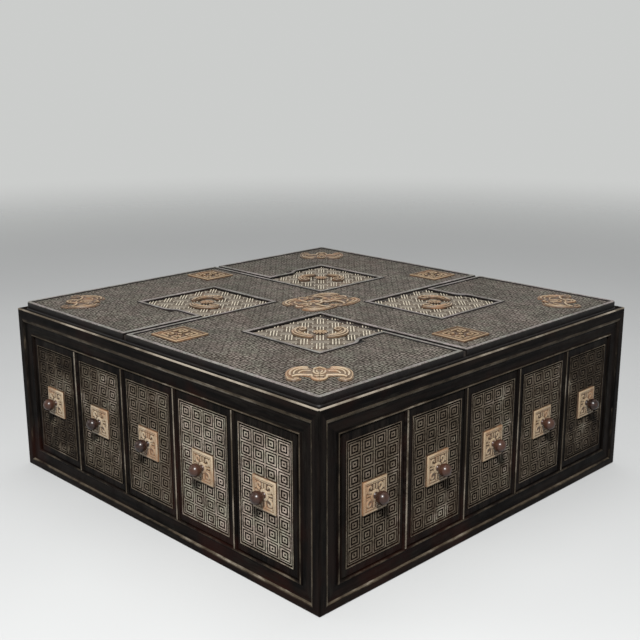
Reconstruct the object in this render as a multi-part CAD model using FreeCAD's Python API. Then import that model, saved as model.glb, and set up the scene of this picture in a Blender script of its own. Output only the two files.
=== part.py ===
"""Square hardwood jewelry chest with drawers on all four faces and a lift-off lid.

Millimetres, +Z up, origin at the centre of the underside. The chest is the same on
its four faces, a quarter turn apart: front (-Y), right (+X), back (+Y), left (-X).
On each face drawer 1 is a fixed front, because the end drawer of the next face
lies behind it, and drawers 2 to 5 slide.
"""
import FreeCAD, Part
import math
import os

from FreeCAD import Vector

# Driving dimensions of the case
case_side = 420.0          # outer width of the square case
case_height = 162.5        # floor to the rim
post_band = 10.5           # plain outer band of the corner posts
top_band = 14.0            # plain outer band of the top rails
bottom_band = 8.5          # plain outer band of the bottom rails
side_step = 12.5           # inner band beside the drawers
top_step = 11.0            # inner band over the drawers
bottom_step = 12.0         # inner band under the drawers
step_depth = 2.2           # how far the inner band lies back
arris_chamfer = 1.5        # on the outer edges of the case
bead_width = 2.0           # thread bead round the drawer opening
bead_height = 1.3          # how far that bead stands up
bead_bevel = 0.6           # slope on both its front edges
step_bevel = 1.1           # slope down to the inner band
rim_width = 2.6            # flat crest of the rim, from the outer face

# Driving dimensions of the drawers and of what divides them
drawers_per_face = 5
divider_thickness = 4.6
board_thickness = 5.0      # pinwheel partitions and deck boards
nose_bevel = 1.6           # on both edges of a board's nose
base_thickness = 8.0
drawer_gap = 0.4           # clearance beside and over a drawer front
run_gap = 0.3              # clearance between a drawer and the base board
front_setback = 2.5        # drawer fronts lie this far behind the outer face
front_thickness = 9.0
tray_wall = 4.5            # drawer sides and back
tray_bottom = 3.0
tray_drop = 12.0           # drawer sides stop this far below the top of the front
tray_play = 1.0            # drawer sides clear the dividers by this much more
back_gap = 0.6             # behind the drawers
bottom_inset = 2.0         # the tray bottom's groove in the sides and the front

# Driving dimensions of the fronts' ornament
field_border_side = 3.7    # plain border beside the bead frame
field_border_end = 6.4     # plain border over and under it
field_bead = 1.5           # width of one bead of the double frame
field_bead_gap = 1.2
outer_bead_height = 0.8    # of the double frame, above the border
inner_bead_height = 0.4
field_sink = 0.6           # the fret ground lies this deep
plate_side = 26.5
plate_thickness = 2.8
plate_rim = 2.6
plate_sink = 0.7
knob_diameter = 11.0
knob_reach = 7.0           # centre of the ball in front of the plate
neck_diameter = 4.2
collar_diameter = 6.4
collar_thickness = 0.8
knob_bands = 5             # flat bands and sides of the ball, to keep its facets few
knob_sides = 12

# Driving dimensions of the lid
lid_inset = 5.3            # lid edge inside the outer faces of the case
lid_play = 0.4
lid_seat_depth = 5.0       # seat of the lid below the rim
lid_seat_gap = 0.2
lid_board_thickness = 5.2
lid_plan_round = 4.0
lid_chamfer = 0.9          # on the lid board's upper edge
batten_depth = 7.0         # the battens under the lid drop this far into the case
batten_width = 12.0
batten_play = 0.6
pinwheel_thickness = 6.0
pinwheel_setback = 0.9
edge_bead = 4.2            # width of the bead round the pinwheel board
edge_chamfer = 0.85        # on both edges of that bead
ground_sink = 1.0          # carved ground of the pinwheel board below its bead
pocket_near = 33.7         # pocket side nearer the middle of the lid
pocket_far = 122.8         # pocket side nearer the edge
pocket_jog = 6.5           # step of the far side, made by an ogee
jog_length = 14.0
groove_width = 4.6         # groove from each pocket out through the edge
panel_play = 0.25
panel_drop = 1.9           # light panels below the bead

# Driving dimensions of the lid's mounts
mount_thickness = 1.8
mount_facet = 3.0          # facets round the mounts' curves are about this long
bat_margin = 36.6          # middle of a corner bat from the beads beside it
bat_span = 54.0
plaque_side = 35.0
plaque_margin = 11.1       # between a plaque and the bead beside it
plaque_rim = 3.6
cloud_span = 50.0
centre_bat_span = 56.0
centre_bat_place = 18.0
rosette_lobes = 6
wing_share = 0.25          # radius of a bat's wing, as a share of the bat's span
body_share = 0.17          # and of its body
head_share = 0.09          # and of its head
hollow_share = 0.65        # radius of the hollow in a wing or cloud, as a share of its own
notch_share = 0.4          # and of the notch in a wing's trailing edge
tip_share = 0.28           # and of the wing's curled tip
scroll_share = 0.27        # radius of a curled cloud, as a share of its mount's span
curl_share = 0.3           # radius of its curl and its foot, as a share of its own
rosette_share = 0.085      # radius of the round middle, as a share of the mount's span

# Sizes worked out from the driving dimensions
half = case_side / 2
frame_depth = post_band + side_step
bank_half = half - frame_depth
open_low = bottom_band + bottom_step
open_high = case_height - top_band - top_step
pitch = 2 * bank_half / drawers_per_face
front_width = pitch - divider_thickness - 2 * drawer_gap
front_low = open_low + run_gap
front_high = open_high - drawer_gap
front_face = half - front_setback
front_back = front_face - front_thickness
wall_line = bank_half - pitch
cell_back = wall_line + board_thickness / 2
field_low = front_low + field_border_end
field_high = front_high - field_border_end
field_mid = (field_low + field_high) / 2
plate_face = front_face - field_sink + plate_thickness
seat_level = case_height - lid_seat_depth
lid_half = half - lid_inset
lid_low = seat_level + lid_seat_gap
lid_high = lid_low + lid_board_thickness
deck_high = open_high + board_thickness
pinwheel_half = lid_half - pinwheel_setback
bead_top = lid_high + pinwheel_thickness
ground_level = bead_top - ground_sink
panel_level = bead_top - panel_drop
bat_place = pinwheel_half - edge_bead - bat_margin
plaque_place = pinwheel_half - edge_bead - plaque_margin - plaque_side / 2
side_names = ["front", "right", "back", "left"]
corner_names = ["front_right", "back_right", "back_left", "front_left"]


def block(x0, y0, z0, x1, y1, z1):
    """A box between two corners."""
    low = Vector(min(x0, x1), min(y0, y1), min(z0, z1))
    return Part.makeBox(abs(x1 - x0), abs(y1 - y0), abs(z1 - z0), low)


def square_block(size_half, z0, z1):
    """A square board centred on the Z axis."""
    return block(-size_half, -size_half, z0, size_half, size_half, z1)


def turned(shape, quarter):
    """A copy of a shape for another face, a number of quarter turns on."""
    copy = shape.copy()
    copy.rotate(Vector(0, 0, 0), Vector(0, 0, 1), 90 * quarter)
    return copy


def on_all_sides(shape):
    """Four copies of a shape, one for each face."""
    return [turned(shape, quarter) for quarter in range(4)]


def fused(shapes):
    """One solid from shapes that overlap or touch."""
    joined = shapes[0]
    if len(shapes) > 1:
        joined = shapes[0].fuse(shapes[1:])
    return joined.removeSplitter()


def save(shapes, name):
    """Write one sub-part: one solid, or a group of separate solids."""
    group = shapes if isinstance(shapes, list) else [shapes]
    solids = [solid for shape in group for solid in shape.Solids]
    shape = solids[0] if len(solids) == 1 else Part.makeCompound(solids)
    shape.exportStep(f"parts/{name}.step")


def prism(points, direction):
    """A solid pushed out from a flat polygon."""
    wire = Part.makePolygon(points + [points[0]])
    return Part.Face(wire).extrude(direction)


def solid_of(facets):
    """A solid closed by flat facets, each a list of corners."""
    faces = [Part.Face(Part.makePolygon(corners + [corners[0]])) for corners in facets]
    solid = Part.Solid(Part.Shell(faces))
    if solid.Volume < 0:
        solid.reverse()
    return solid


def sloped(low_ring, high_ring):
    """A solid between two like polygons, with flat sloping sides."""
    facets = [low_ring, high_ring]
    for place in range(len(low_ring)):
        facets.append([low_ring[place - 1], low_ring[place], high_ring[place],
                       high_ring[place - 1]])
    return solid_of(facets)


def square_frustum(low_half, low_level, high_half, high_level):
    """A square block whose sides slope between two levels."""
    signs = [(-1, -1), (1, -1), (1, 1), (-1, 1)]
    low = [Vector(a * low_half, b * low_half, low_level) for a, b in signs]
    high = [Vector(a * high_half, b * high_half, high_level) for a, b in signs]
    return sloped(low, high)


def upright_plate(x0, z0, x1, z1, y_face, y_back):
    """A box that lies in the front face, between two depths."""
    return block(x0, y_face, z0, x1, y_back, z1)


def upright_frame(x0, z0, x1, z1, width, y_face, y_back):
    """A rectangular ring in the front face, between two depths."""
    outer = upright_plate(x0, z0, x1, z1, y_face, y_back)
    inner = upright_plate(x0 + width, z0 + width, x1 - width, z1 - width, y_face - 1, y_back + 1)
    return outer.cut(inner)


def on_front(edge, y_face):
    """Whether an edge lies in the plane of a front face."""
    return all(abs(vertex.Y - y_face) < 1e-6 for vertex in edge.Vertexes)


def case_envelope():
    """The outer form of the case: a square block with its arrises taken off."""
    body = square_block(half, 0, case_height)
    return body.makeChamfer(arris_chamfer, body.Edges)


def mitre_ring(along, depth):
    """Corners of a ring that turns on the mitres, so far behind the front of the case.

    Along is 0 at the outer edges, 1 at the step and 2 at the drawer opening.
    """
    band, step = min(along, 1), max(along - 1, 0)
    side = half - band * post_band - step * side_step
    low = band * bottom_band + step * bottom_step
    high = case_height - band * top_band - step * top_step
    corners = [(-side, low), (side, low), (side, high), (-side, high)]
    return [Vector(x, depth - half, z) for x, z in corners]


def face_recess():
    """What is cut from the front face: the stepped inner band, less its thread bead."""
    bead_front = step_depth - bead_height
    recess = sloped(mitre_ring(1 - step_bevel / post_band, 0), mitre_ring(1, step_depth))
    crest = 2 - (bead_width - bead_bevel) / side_step
    foot = 2 - bead_width / side_step
    bead = sloped(mitre_ring(crest, bead_front), mitre_ring(foot, step_depth))
    return recess.cut(bead)


def face_opening():
    """The drawer opening through the front frame, with the bevel on the inside of its bead."""
    bead_front = step_depth - bead_height
    bevel = sloped(mitre_ring(2 - bead_bevel / side_step, bead_front),
                   mitre_ring(2, bead_front + bead_bevel))
    hole = block(-bank_half, -half - 1, open_low, bank_half, -bank_half + 1, open_high)
    return hole.fuse(bevel)


def mitred_rail(place):
    """The front rail under (0) or over (1) the opening, mitred to the posts and its neighbours."""
    rings = [mitre_ring(along, 0) for along in range(3)]
    first, last = (0, 1) if place == 0 else (3, 2)
    outline = [ring[first] for ring in rings] + [ring[last] for ring in reversed(rings)]
    rail = prism(outline, Vector(0, frame_depth, 0))
    low, high = (0, open_low) if place == 0 else (open_high, case_height)
    plan = prism([Vector(-half, -half, low), Vector(half, -half, low),
                  Vector(bank_half, -bank_half, low), Vector(-bank_half, -bank_half, low)],
                 Vector(0, 0, high - low))
    return rail.common(plan)


def lid_seat():
    """What the lid needs cut from the rim: the seat and the slope down to it."""
    seat_half = lid_half + lid_play
    seat = square_block(seat_half, seat_level, case_height + 1)
    slope = square_frustum(seat_half, seat_level + lid_seat_depth / 3,
                           half - rim_width, case_height)
    return seat.fuse(slope)


def build_case_frame():
    """Posts and rails: a mitred frame on every face, stepped and beaded."""
    envelope = case_envelope()
    cutters = on_all_sides(face_recess()) + on_all_sides(face_opening())
    bottom, top = mitred_rail(0), mitred_rail(1)
    rails = on_all_sides(top) + on_all_sides(bottom)
    shaped_top = top.common(envelope).cut(cutters)
    rail = shaped_top.common(square_block(half, 0, seat_level))
    rim = shaped_top.cut(square_block(half, 0, seat_level)).cut(lid_seat())
    shaped_bottom = bottom.common(envelope).cut(cutters)
    for quarter, name in enumerate(side_names):
        save([turned(rail, quarter), turned(rim, quarter)], f"top_rail_{name}")
        save(turned(shaped_bottom, quarter), f"bottom_rail_{name}")
    corner = block(bank_half, -half, 0, half, -bank_half, case_height)
    post = corner.common(envelope).cut(rails).cut(cutters)
    for quarter, name in enumerate(corner_names):
        save(turned(post, quarter), f"corner_post_{name}")


def nosed_board(x_mid, thickness, y_back, z_low, z_high):
    """An upright board, edge on to the front face, with a bevelled nose."""
    nose_front = -half + step_depth - bead_height
    board = block(x_mid - thickness / 2, nose_front, z_low, x_mid + thickness / 2, y_back, z_high)
    nose = [edge for edge in board.Edges
            if on_front(edge, nose_front) and edge.Length > thickness * 2]
    return board.makeChamfer(nose_bevel, nose)


def build_partitions():
    """The pinwheel of long boards round the well, and the dividers of each face."""
    well_edge = wall_line - board_thickness / 2
    long_board = nosed_board(-wall_line, board_thickness, well_edge, open_low, open_high)
    save(on_all_sides(long_board), "well_walls")
    divider_back = -wall_line - board_thickness / 2
    dividers = []
    for place in range(2, drawers_per_face):
        x_mid = -bank_half + place * pitch
        divider = nosed_board(x_mid, divider_thickness, divider_back, open_low, open_high)
        dividers += on_all_sides(divider)
    save(dividers, "drawer_dividers")


def build_base_and_deck():
    """The board under the drawers and the well, and the boards over the drawers."""
    save(square_block(bank_half, open_low - base_thickness, open_low), "base_board")
    well_half = wall_line - board_thickness / 2
    deck = block(-well_half, -bank_half, open_high, bank_half, -well_half, deck_high)
    save(on_all_sides(deck), "deck_boards")


def front_board(x_mid):
    """A drawer front with a double bead frame round a sunk field."""
    x0, x1 = x_mid - front_width / 2, x_mid + front_width / 2
    y_face, y_back = -front_face, -front_back
    board = upright_plate(x0, front_low, x1, front_high, y_face, y_back)
    fx0, fx1 = x0 + field_border_side, x1 - field_border_side
    field = upright_plate(fx0, field_low, fx1, field_high, y_face - 1, y_face + field_sink)
    board = board.cut(field)
    step = field_bead + field_bead_gap
    beads = []
    for row, height in enumerate([outer_bead_height, inner_bead_height]):
        inset = row * step
        beads.append(upright_frame(fx0 + inset, field_low + inset, fx1 - inset, field_high - inset,
                                   field_bead, y_face - height, y_face + field_sink))
    return fused([board] + beads)


def pull_plate(x_mid):
    """The square plate under a knob, with a raised rim round a sunk middle."""
    y_back = -front_face + field_sink
    y_face = -plate_face
    side = plate_side / 2
    plate = upright_plate(x_mid - side, field_mid - side, x_mid + side, field_mid + side,
                          y_face, y_back)
    inner = side - plate_rim
    middle = upright_plate(x_mid - inner, field_mid - inner, x_mid + inner, field_mid + inner,
                           y_face - 1, y_face + plate_sink)
    return plate.cut(middle)


def faceted(outline, tip):
    """A turned form about the Y axis in flat facets, from (radius, y) pairs to a point."""
    angles = [2 * math.pi * side / knob_sides for side in range(knob_sides)]
    rings = [[Vector(radius * math.cos(angle), y, radius * math.sin(angle)) for angle in angles]
             for radius, y in outline]
    facets = [rings[0]]
    for ring, following in zip(rings, rings[1:]):
        for side in range(knob_sides):
            facets.append([ring[side - 1], ring[side], following[side], following[side - 1]])
    for side in range(knob_sides):
        facets.append([rings[-1][side - 1], rings[-1][side], Vector(0, tip, 0)])
    return solid_of(facets)


def knob(x_mid):
    """A ball on a neck and a collar, turned about the Y axis."""
    base = -(plate_face - plate_sink)
    ball_mid = -plate_face - knob_reach
    radius = knob_diameter / 2
    neck_angle = math.asin(neck_diameter / knob_diameter)
    outline = [(collar_diameter / 2, base), (collar_diameter / 2, base - collar_thickness),
               (neck_diameter / 2, base - collar_thickness)]
    for band in range(knob_bands):
        angle = neck_angle + (math.pi - neck_angle) * band / knob_bands
        outline.append((radius * math.sin(angle), ball_mid + radius * math.cos(angle)))
    pull = faceted(outline, ball_mid - radius)
    pull.translate(Vector(x_mid, 0, field_mid))
    return pull


def drawer_tray(x_mid):
    """Two sides, a back and a bottom let into them, all as separate boards."""
    outer = front_width / 2 - tray_play
    y0, y1 = -front_back, -(cell_back + back_gap)
    z0, z1 = front_low, front_high - tray_drop
    side = block(x_mid - outer, y0, z0, x_mid - outer + tray_wall, y1, z1)
    other = block(x_mid + outer - tray_wall, y0, z0, x_mid + outer, y1, z1)
    inner = outer - tray_wall
    floor_z = z0 + bottom_inset
    back = block(x_mid - inner, y1 - tray_wall, floor_z + tray_bottom, x_mid + inner, y1, z1)
    half_in = tray_wall / 2
    bottom = block(x_mid - inner - half_in, y0, floor_z, x_mid + inner + half_in, y1,
                   floor_z + tray_bottom)
    return [side.cut(bottom), other.cut(bottom), back, bottom]


def build_drawers():
    """Drawers 2 to 5 slide; drawer 1 of each face is a fixed front."""
    for number in range(1, drawers_per_face + 1):
        x_mid = -bank_half + (number - 0.5) * pitch
        board, plate, pull = front_board(x_mid), pull_plate(x_mid), knob(x_mid)
        if number == 1:
            save(on_all_sides(board), "false_fronts")
            save(on_all_sides(plate), "false_front_plates")
            save(on_all_sides(pull), "false_front_knobs")
            continue
        boards = drawer_tray(x_mid)
        for quarter, name in enumerate(side_names):
            front = [turned(solid, quarter) for solid in (board, plate, pull)]
            save(front, f"{name}_drawer_{number}_front")
            save([turned(solid, quarter) for solid in boards], f"{name}_drawer_{number}_tray")


def rounded_square(size_half, rounding):
    """A flat square with rounded corners, at the level of the origin."""
    face = Part.makePlane(2 * size_half, 2 * size_half, Vector(-size_half, -size_half, 0))
    solid = face.extrude(Vector(0, 0, 1))
    upright = [edge for edge in solid.Edges if abs(edge.Vertexes[0].Z - edge.Vertexes[-1].Z) > 0.5]
    rounded = solid.makeFillet(rounding, upright)
    return [part for part in rounded.Faces if abs(part.CenterOfMass.z) < 1e-6][0]


def ogee(start, end):
    """Two arcs that pass smoothly between two offset lines, both running along Y."""
    across, along = end.x - start.x, end.y - start.y
    turn = 2 * math.atan2(abs(across), abs(along))
    radius = abs(along) / (2 * math.sin(turn))
    middle = (start + end) * 0.5
    sag = radius * (1 - math.cos(turn / 2))
    reach = radius * math.sin(turn / 2)
    toward = math.copysign(1, across)
    forward = math.copysign(1, along)
    first = Vector(start.x + toward * sag, start.y + forward * reach, 0)
    last = Vector(end.x - toward * sag, end.y - forward * reach, 0)
    return [Part.Arc(start, first, middle).toShape(), Part.Arc(middle, last, end).toShape()]


def pocket(grow=0.0):
    """The pocket and groove of the front right corner, widened all round by an amount."""
    near, far = pocket_near - grow, pocket_far + grow
    far_short = far - pocket_jog
    groove_far = pocket_near + groove_width + grow
    edge_x = pinwheel_half + edge_bead
    jog_mid = (pocket_near + pocket_far) / 2
    jog_start = Vector(far_short, -(jog_mid - jog_length / 2), 0)
    jog_end = Vector(far, -(jog_mid + jog_length / 2), 0)
    corners = [jog_end, Vector(far, -far, 0), Vector(near, -far, 0), Vector(near, -near, 0),
               Vector(edge_x, -near, 0), Vector(edge_x, -groove_far, 0),
               Vector(far_short, -groove_far, 0), jog_start]
    edges = [Part.makeLine(a, b) for a, b in zip(corners, corners[1:])]
    edges += ogee(jog_start, jog_end)
    return Part.Face(Part.Wire(Part.__sortEdges__(edges)))


def pinwheel_outline(inset=0.0):
    """The board's plan: a rounded square less four pockets, drawn in by an amount."""
    plan = rounded_square(pinwheel_half - inset, max(lid_plan_round - inset, 1.0))
    return plan.cut(on_all_sides(pocket(inset)))


def lifted(face, level, height):
    """A solid pushed up from a flat face, starting at a level."""
    solid = face.extrude(Vector(0, 0, height))
    solid.translate(Vector(0, 0, level))
    return solid


def build_pinwheel_board():
    """The pinwheel board: a bead follows its whole outline round a sunk ground."""
    board = lifted(pinwheel_outline(), lid_high, pinwheel_thickness)
    ground = lifted(pinwheel_outline(edge_bead), ground_level, ground_sink + 1)
    board = board.cut(ground)
    top_edges = [edge for edge in board.Edges
                 if all(abs(v.Z - bead_top) < 1e-6 for v in edge.Vertexes)]
    save(board.makeChamfer(edge_chamfer, top_edges), "pinwheel_board")


def build_lid_board():
    """The lid board with its moulded edge, and the battens that keep it in place."""
    board = lifted(rounded_square(lid_half, lid_plan_round), lid_low, lid_board_thickness)
    upper = [edge for edge in board.Edges
             if all(abs(v.Z - lid_high) < 1e-6 for v in edge.Vertexes)]
    save(board.makeChamfer(lid_chamfer, upper), "lid_board")
    outer = bank_half - batten_play
    batten = block(-outer, -outer, lid_low - batten_depth, outer - batten_width,
                   -outer + batten_width, lid_low)
    save(on_all_sides(batten), "lid_battens")


def build_light_panels():
    """The four light panels, each filling the square part of a pocket."""
    panel = lifted(pocket(-panel_play), lid_high, panel_level - lid_high)
    groove = block(pocket_far - pocket_jog - panel_play, -pocket_near - groove_width, lid_high - 1,
                   half, 0, bead_top)
    save(on_all_sides(panel.cut(groove)), "lid_light_panels")


def disc(x, y, radius):
    """A round piece of the sheet that the mounts are cut from, its edge in short facets."""
    sides = max(8, round(2 * math.pi * radius / mount_facet))
    turns = [2 * math.pi * (side + 0.5) / sides for side in range(sides)]
    points = [Vector(x + radius * math.cos(turn), y + radius * math.sin(turn), 0)
              for turn in turns]
    return prism(points, Vector(0, 0, mount_thickness))


def bat(span):
    """A bat seen from above, wings spread along X and its head towards -Y."""
    wing = span * wing_share
    outline = disc(0, 0, span * body_share).fuse([disc(0, -span * body_share, span * head_share)])
    for side in (-1, 1):
        middle = side * (span / 2 - wing)
        spread = disc(middle, 0, wing)
        hollow = disc(middle, -wing, wing * hollow_share)
        notch = disc(middle, wing, wing * notch_share)
        tip = wing * tip_share
        tip_end = disc(side * (span / 2 - tip), -wing * hollow_share, tip)
        outline = outline.fuse([spread.cut([hollow, notch]), tip_end])
    return outline.removeSplitter()


def scroll(span, side):
    """One of the two curled clouds of a panel mount, on one side of its middle."""
    radius = span * scroll_share
    reach = side * (span / 2 - radius)
    hollow = disc(reach - side * radius / 2, radius / 3, radius * hollow_share)
    curl = disc(reach, radius - radius * curl_share, radius * curl_share)
    foot = disc(reach - side * radius / 2, -radius * hollow_share, radius * curl_share)
    return disc(reach, 0, radius).cut(hollow).fuse([curl, foot]).removeSplitter()


def rosette(span):
    """The round middle of a panel mount, with lobes round its edge."""
    radius = span * rosette_share
    lobes = []
    for place in range(rosette_lobes):
        angle = 2 * math.pi * place / rosette_lobes
        lobes.append(disc(radius * math.cos(angle), radius * math.sin(angle), radius / 2))
    return disc(0, 0, radius).fuse(lobes).removeSplitter()


def placed(mount, x, y, angle, level):
    """A mount turned about its middle and laid in its place."""
    solid = mount.copy()
    solid.rotate(Vector(0, 0, 0), Vector(0, 0, 1), angle)
    solid.translate(Vector(x, y, level))
    return solid


def build_lid_mounts():
    """Bats at the corners and the centre, plaques at the sides, clouds on the panels."""
    corner_bat = placed(bat(bat_span), bat_place, -bat_place, 45, ground_level)
    save(on_all_sides(corner_bat), "corner_bats")
    pair = [placed(bat(centre_bat_span), 0, centre_bat_place, 0, ground_level),
            placed(bat(centre_bat_span), 0, -centre_bat_place, 180, ground_level)]
    save(pair, "centre_bats")
    side = plaque_side / 2
    plaque = block(-side, -side, ground_level, side, side, ground_level + mount_thickness)
    inner = side - plaque_rim
    sunk = block(-inner, -inner, ground_level + mount_thickness / 2, inner, inner, bead_top + 1)
    boss_side = inner / 2
    boss = block(-boss_side, -boss_side, ground_level, boss_side, boss_side,
                 ground_level + mount_thickness)
    plaque = fused([plaque.cut(sunk), boss])
    plaque.translate(Vector(0, -plaque_place, 0))
    save(on_all_sides(plaque), "side_plaques")
    middle = (pocket_near + pocket_far) / 2
    clouds = []
    for mount in (scroll(cloud_span, -1), scroll(cloud_span, 1), rosette(cloud_span)):
        clouds += on_all_sides(placed(mount, middle, -middle, 45, panel_level))
    save(clouds, "panel_clouds")


def main():
    os.makedirs("parts", exist_ok=True)
    build_case_frame()
    build_partitions()
    build_base_and_deck()
    build_drawers()
    build_lid_board()
    build_pinwheel_board()
    build_light_panels()
    build_lid_mounts()


main()
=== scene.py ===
"""Square hardwood jewelry chest with fret-carved drawers and a pinwheel lid.

Run as a script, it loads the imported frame, dresses it and sets the stage. Everything is in
metres, in the frame's own axes: the front looks along -Y and the right face along +X.
"""
import math

import bmesh
import bpy
from mathutils import Matrix, Vector


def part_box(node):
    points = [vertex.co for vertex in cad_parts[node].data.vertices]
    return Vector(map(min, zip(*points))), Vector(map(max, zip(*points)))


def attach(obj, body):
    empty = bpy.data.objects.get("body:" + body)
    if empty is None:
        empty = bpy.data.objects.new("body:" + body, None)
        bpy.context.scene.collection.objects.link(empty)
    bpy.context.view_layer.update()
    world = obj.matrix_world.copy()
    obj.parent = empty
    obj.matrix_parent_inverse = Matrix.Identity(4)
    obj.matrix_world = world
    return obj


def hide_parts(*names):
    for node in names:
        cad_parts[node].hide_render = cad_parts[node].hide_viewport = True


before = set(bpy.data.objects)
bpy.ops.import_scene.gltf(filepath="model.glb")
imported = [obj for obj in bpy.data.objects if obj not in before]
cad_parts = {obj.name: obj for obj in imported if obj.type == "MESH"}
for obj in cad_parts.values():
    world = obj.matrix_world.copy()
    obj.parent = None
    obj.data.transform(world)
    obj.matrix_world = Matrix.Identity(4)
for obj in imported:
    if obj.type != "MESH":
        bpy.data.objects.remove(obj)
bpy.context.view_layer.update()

bl_info = {
    "name": "Jewelry chest",
    "version": (1, 0, 0),
    "blender": (4, 5, 0),
    "location": "View3D > Sidebar > Chest",
    "description": "Dresses a square jewelry chest with carved drawers and a pinwheel lid",
    "category": "Add Mesh",
}

SIDES = ["front", "right", "back", "left"]
POST_NAMES = ["front_right", "back_right", "back_left", "front_left"]
POST_LOW, POST_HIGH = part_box("corner_post_front_right")
FRONT_LOW, FRONT_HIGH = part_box("front_drawer_3_front")
LID_LOW, LID_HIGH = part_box("lid_board")
BOARD_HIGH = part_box("pinwheel_board")[1]
PANEL_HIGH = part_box("lid_light_panels")[1]
PLATE_LOW, PLATE_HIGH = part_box("false_front_plates")
PLAQUE_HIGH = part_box("side_plaques")[1]


def length(name, text, value):
    """A size in metres that a user may change."""
    return bpy.props.FloatProperty(name=name, description=text, default=value, precision=5,
                                   unit="LENGTH", subtype="DISTANCE")


def tint(name, text, value):
    """A linear colour."""
    return bpy.props.FloatVectorProperty(name=name, description=text, default=value, size=3,
                                         min=0, max=1, subtype="COLOR")


class CaseSizes(bpy.types.PropertyGroup):
    """Sizes of the case's mitred frames and of the boards between the drawers."""
    half: length("Half side", "Half the outer width of the case", POST_HIGH[0])
    height: length("Height", "Floor to rim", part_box("top_rail_front")[1][2])
    depth: length("Frame depth", "Outer face to the inside of the frame",
                  POST_HIGH[0] - POST_LOW[0])
    low: length("Opening low", "Lower edge of the drawer opening",
                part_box("bottom_rail_front")[1][2])
    high: length("Opening high", "Upper edge of the drawer opening",
                 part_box("top_rail_front")[0][2])
    post_band: length("Post band", "Outer band of the corner posts", 0.0105)
    top_band: length("Top band", "Outer band of the top rails", 0.014)
    bottom_band: length("Bottom band", "Outer band of the bottom rails", 0.0085)
    step: length("Step", "How far the inner band lies back", 0.0022)
    bead: length("Thread bead", "Width of the bead round the opening", 0.0026)
    bead_height: length("Bead height", "How far that bead stands up", 0.0013)
    arris: length("Arris", "Rounding of the outer arrises", 0.0016)
    # The step's edge strip, painted pale as wear and as a painted highlight
    edge: length("Worn edge", "Width of the worn edge of the step", 0.0014)
    rim: length("Rim", "Width of the rim's crest", 0.0026)
    seat: length("Seat", "Depth of the lid's seat below the rim", 0.005)
    seat_half: length("Seat half side", "Half the width of the lid's seat", 0.2051)


class FrontSizes(bpy.types.PropertyGroup):
    """Sizes of the drawer fronts, their fret, plates and knobs."""
    width: length("Width", "Width of a front", FRONT_HIGH[0] - FRONT_LOW[0])
    low: length("Low", "Lower edge of a front", FRONT_LOW[2])
    high: length("High", "Upper edge of a front", FRONT_HIGH[2])
    face: length("Face", "Face of a front, from the middle of the chest", 0.2075)
    back: length("Back", "Back of a front, from the middle of the chest", -FRONT_HIGH[1])
    pitch: length("Pitch", "Spacing of the drawers", 0.0748)
    border: length("Border", "Plain border beside the bead", 0.0037)
    border_end: length("End border", "Plain border over and under the bead", 0.0064)
    bead: length("Bead", "Width of the outer bead", 0.0015)
    gap: length("Bead gap", "Gap between the two beads", 0.0012)
    relief: length("Relief", "Depth of the fret", 0.0008)
    line: length("Fret line", "Width of a line of the fret", 0.0011)
    columns: bpy.props.IntProperty(name="Columns", description="Fret cells across", default=4)
    rows: bpy.props.IntProperty(name="Rows", description="Fret cells upwards", default=8)
    plate: length("Plate", "Side of the square plate", PLATE_HIGH[2] - PLATE_LOW[2])
    plate_face: length("Plate face", "Face of the plate, from the middle", PLATE_HIGH[1])
    plate_thickness: length("Plate thickness", "Thickness of the plate", 0.0028)
    plate_mid: length("Plate middle", "Height of the plate's middle",
                      (PLATE_HIGH[2] + PLATE_LOW[2]) / 2)
    ball: length("Ball", "Diameter of the knob's ball", 0.011)
    reach: length("Reach", "Ball's middle in front of the plate", 0.007)
    neck: length("Neck", "Diameter of the knob's neck", 0.0042)
    collar: length("Collar", "Diameter of the knob's collar", 0.0064)


class LidSizes(bpy.types.PropertyGroup):
    """Sizes of the lid board, the pinwheel board and the light panels."""
    half: length("Lid half side", "Half the width of the lid board", LID_HIGH[0])
    low: length("Lid low", "Underside of the lid board", LID_LOW[2])
    high: length("Lid high", "Top of the lid board", LID_HIGH[2])
    corner: length("Corner", "Rounding of the corners in plan", 0.0046)
    board_half: length("Board half side", "Half the width of the pinwheel board", BOARD_HIGH[0])
    top: length("Bead top", "Top of the bead", BOARD_HIGH[2])
    bead: length("Bead", "Width of the bead round the board", 0.0042)
    bead_gap: length("Bead gap", "Channel between the bead and the fret", 0.0007)
    ground: length("Ground", "Carved ground below the bead's top", 0.001)
    near: length("Pocket near", "Pocket side nearer the middle", 0.0337)
    far: length("Pocket far", "Pocket side nearer the edge", 0.1228)
    jog: length("Jog", "Step of the far side", 0.0065)
    jog_length: length("Jog length", "Length of the ogee in the far side", 0.014)
    groove: length("Groove", "Clear width of the groove", 0.0046)
    panel: length("Panel level", "Face of the light panels", PANEL_HIGH[2])
    cell: length("Ground cell", "Spacing of the fret on the ground", 0.0084)
    line: length("Ground line", "Width of a line of that fret", 0.00125)
    relief: length("Ground relief", "Depth of that fret", 0.0009)
    lattice: length("Mat spacing", "Spacing of the mat pattern's groups", 0.0135)
    bar: length("Bar", "Width of a pale bar", 0.00105)
    bar_height: length("Bar height", "Height of a bar over the panel's ground", 0.0010)
    bar_pitch: length("Bar pitch", "Spacing of the three bars of a group", 0.0027)


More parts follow.
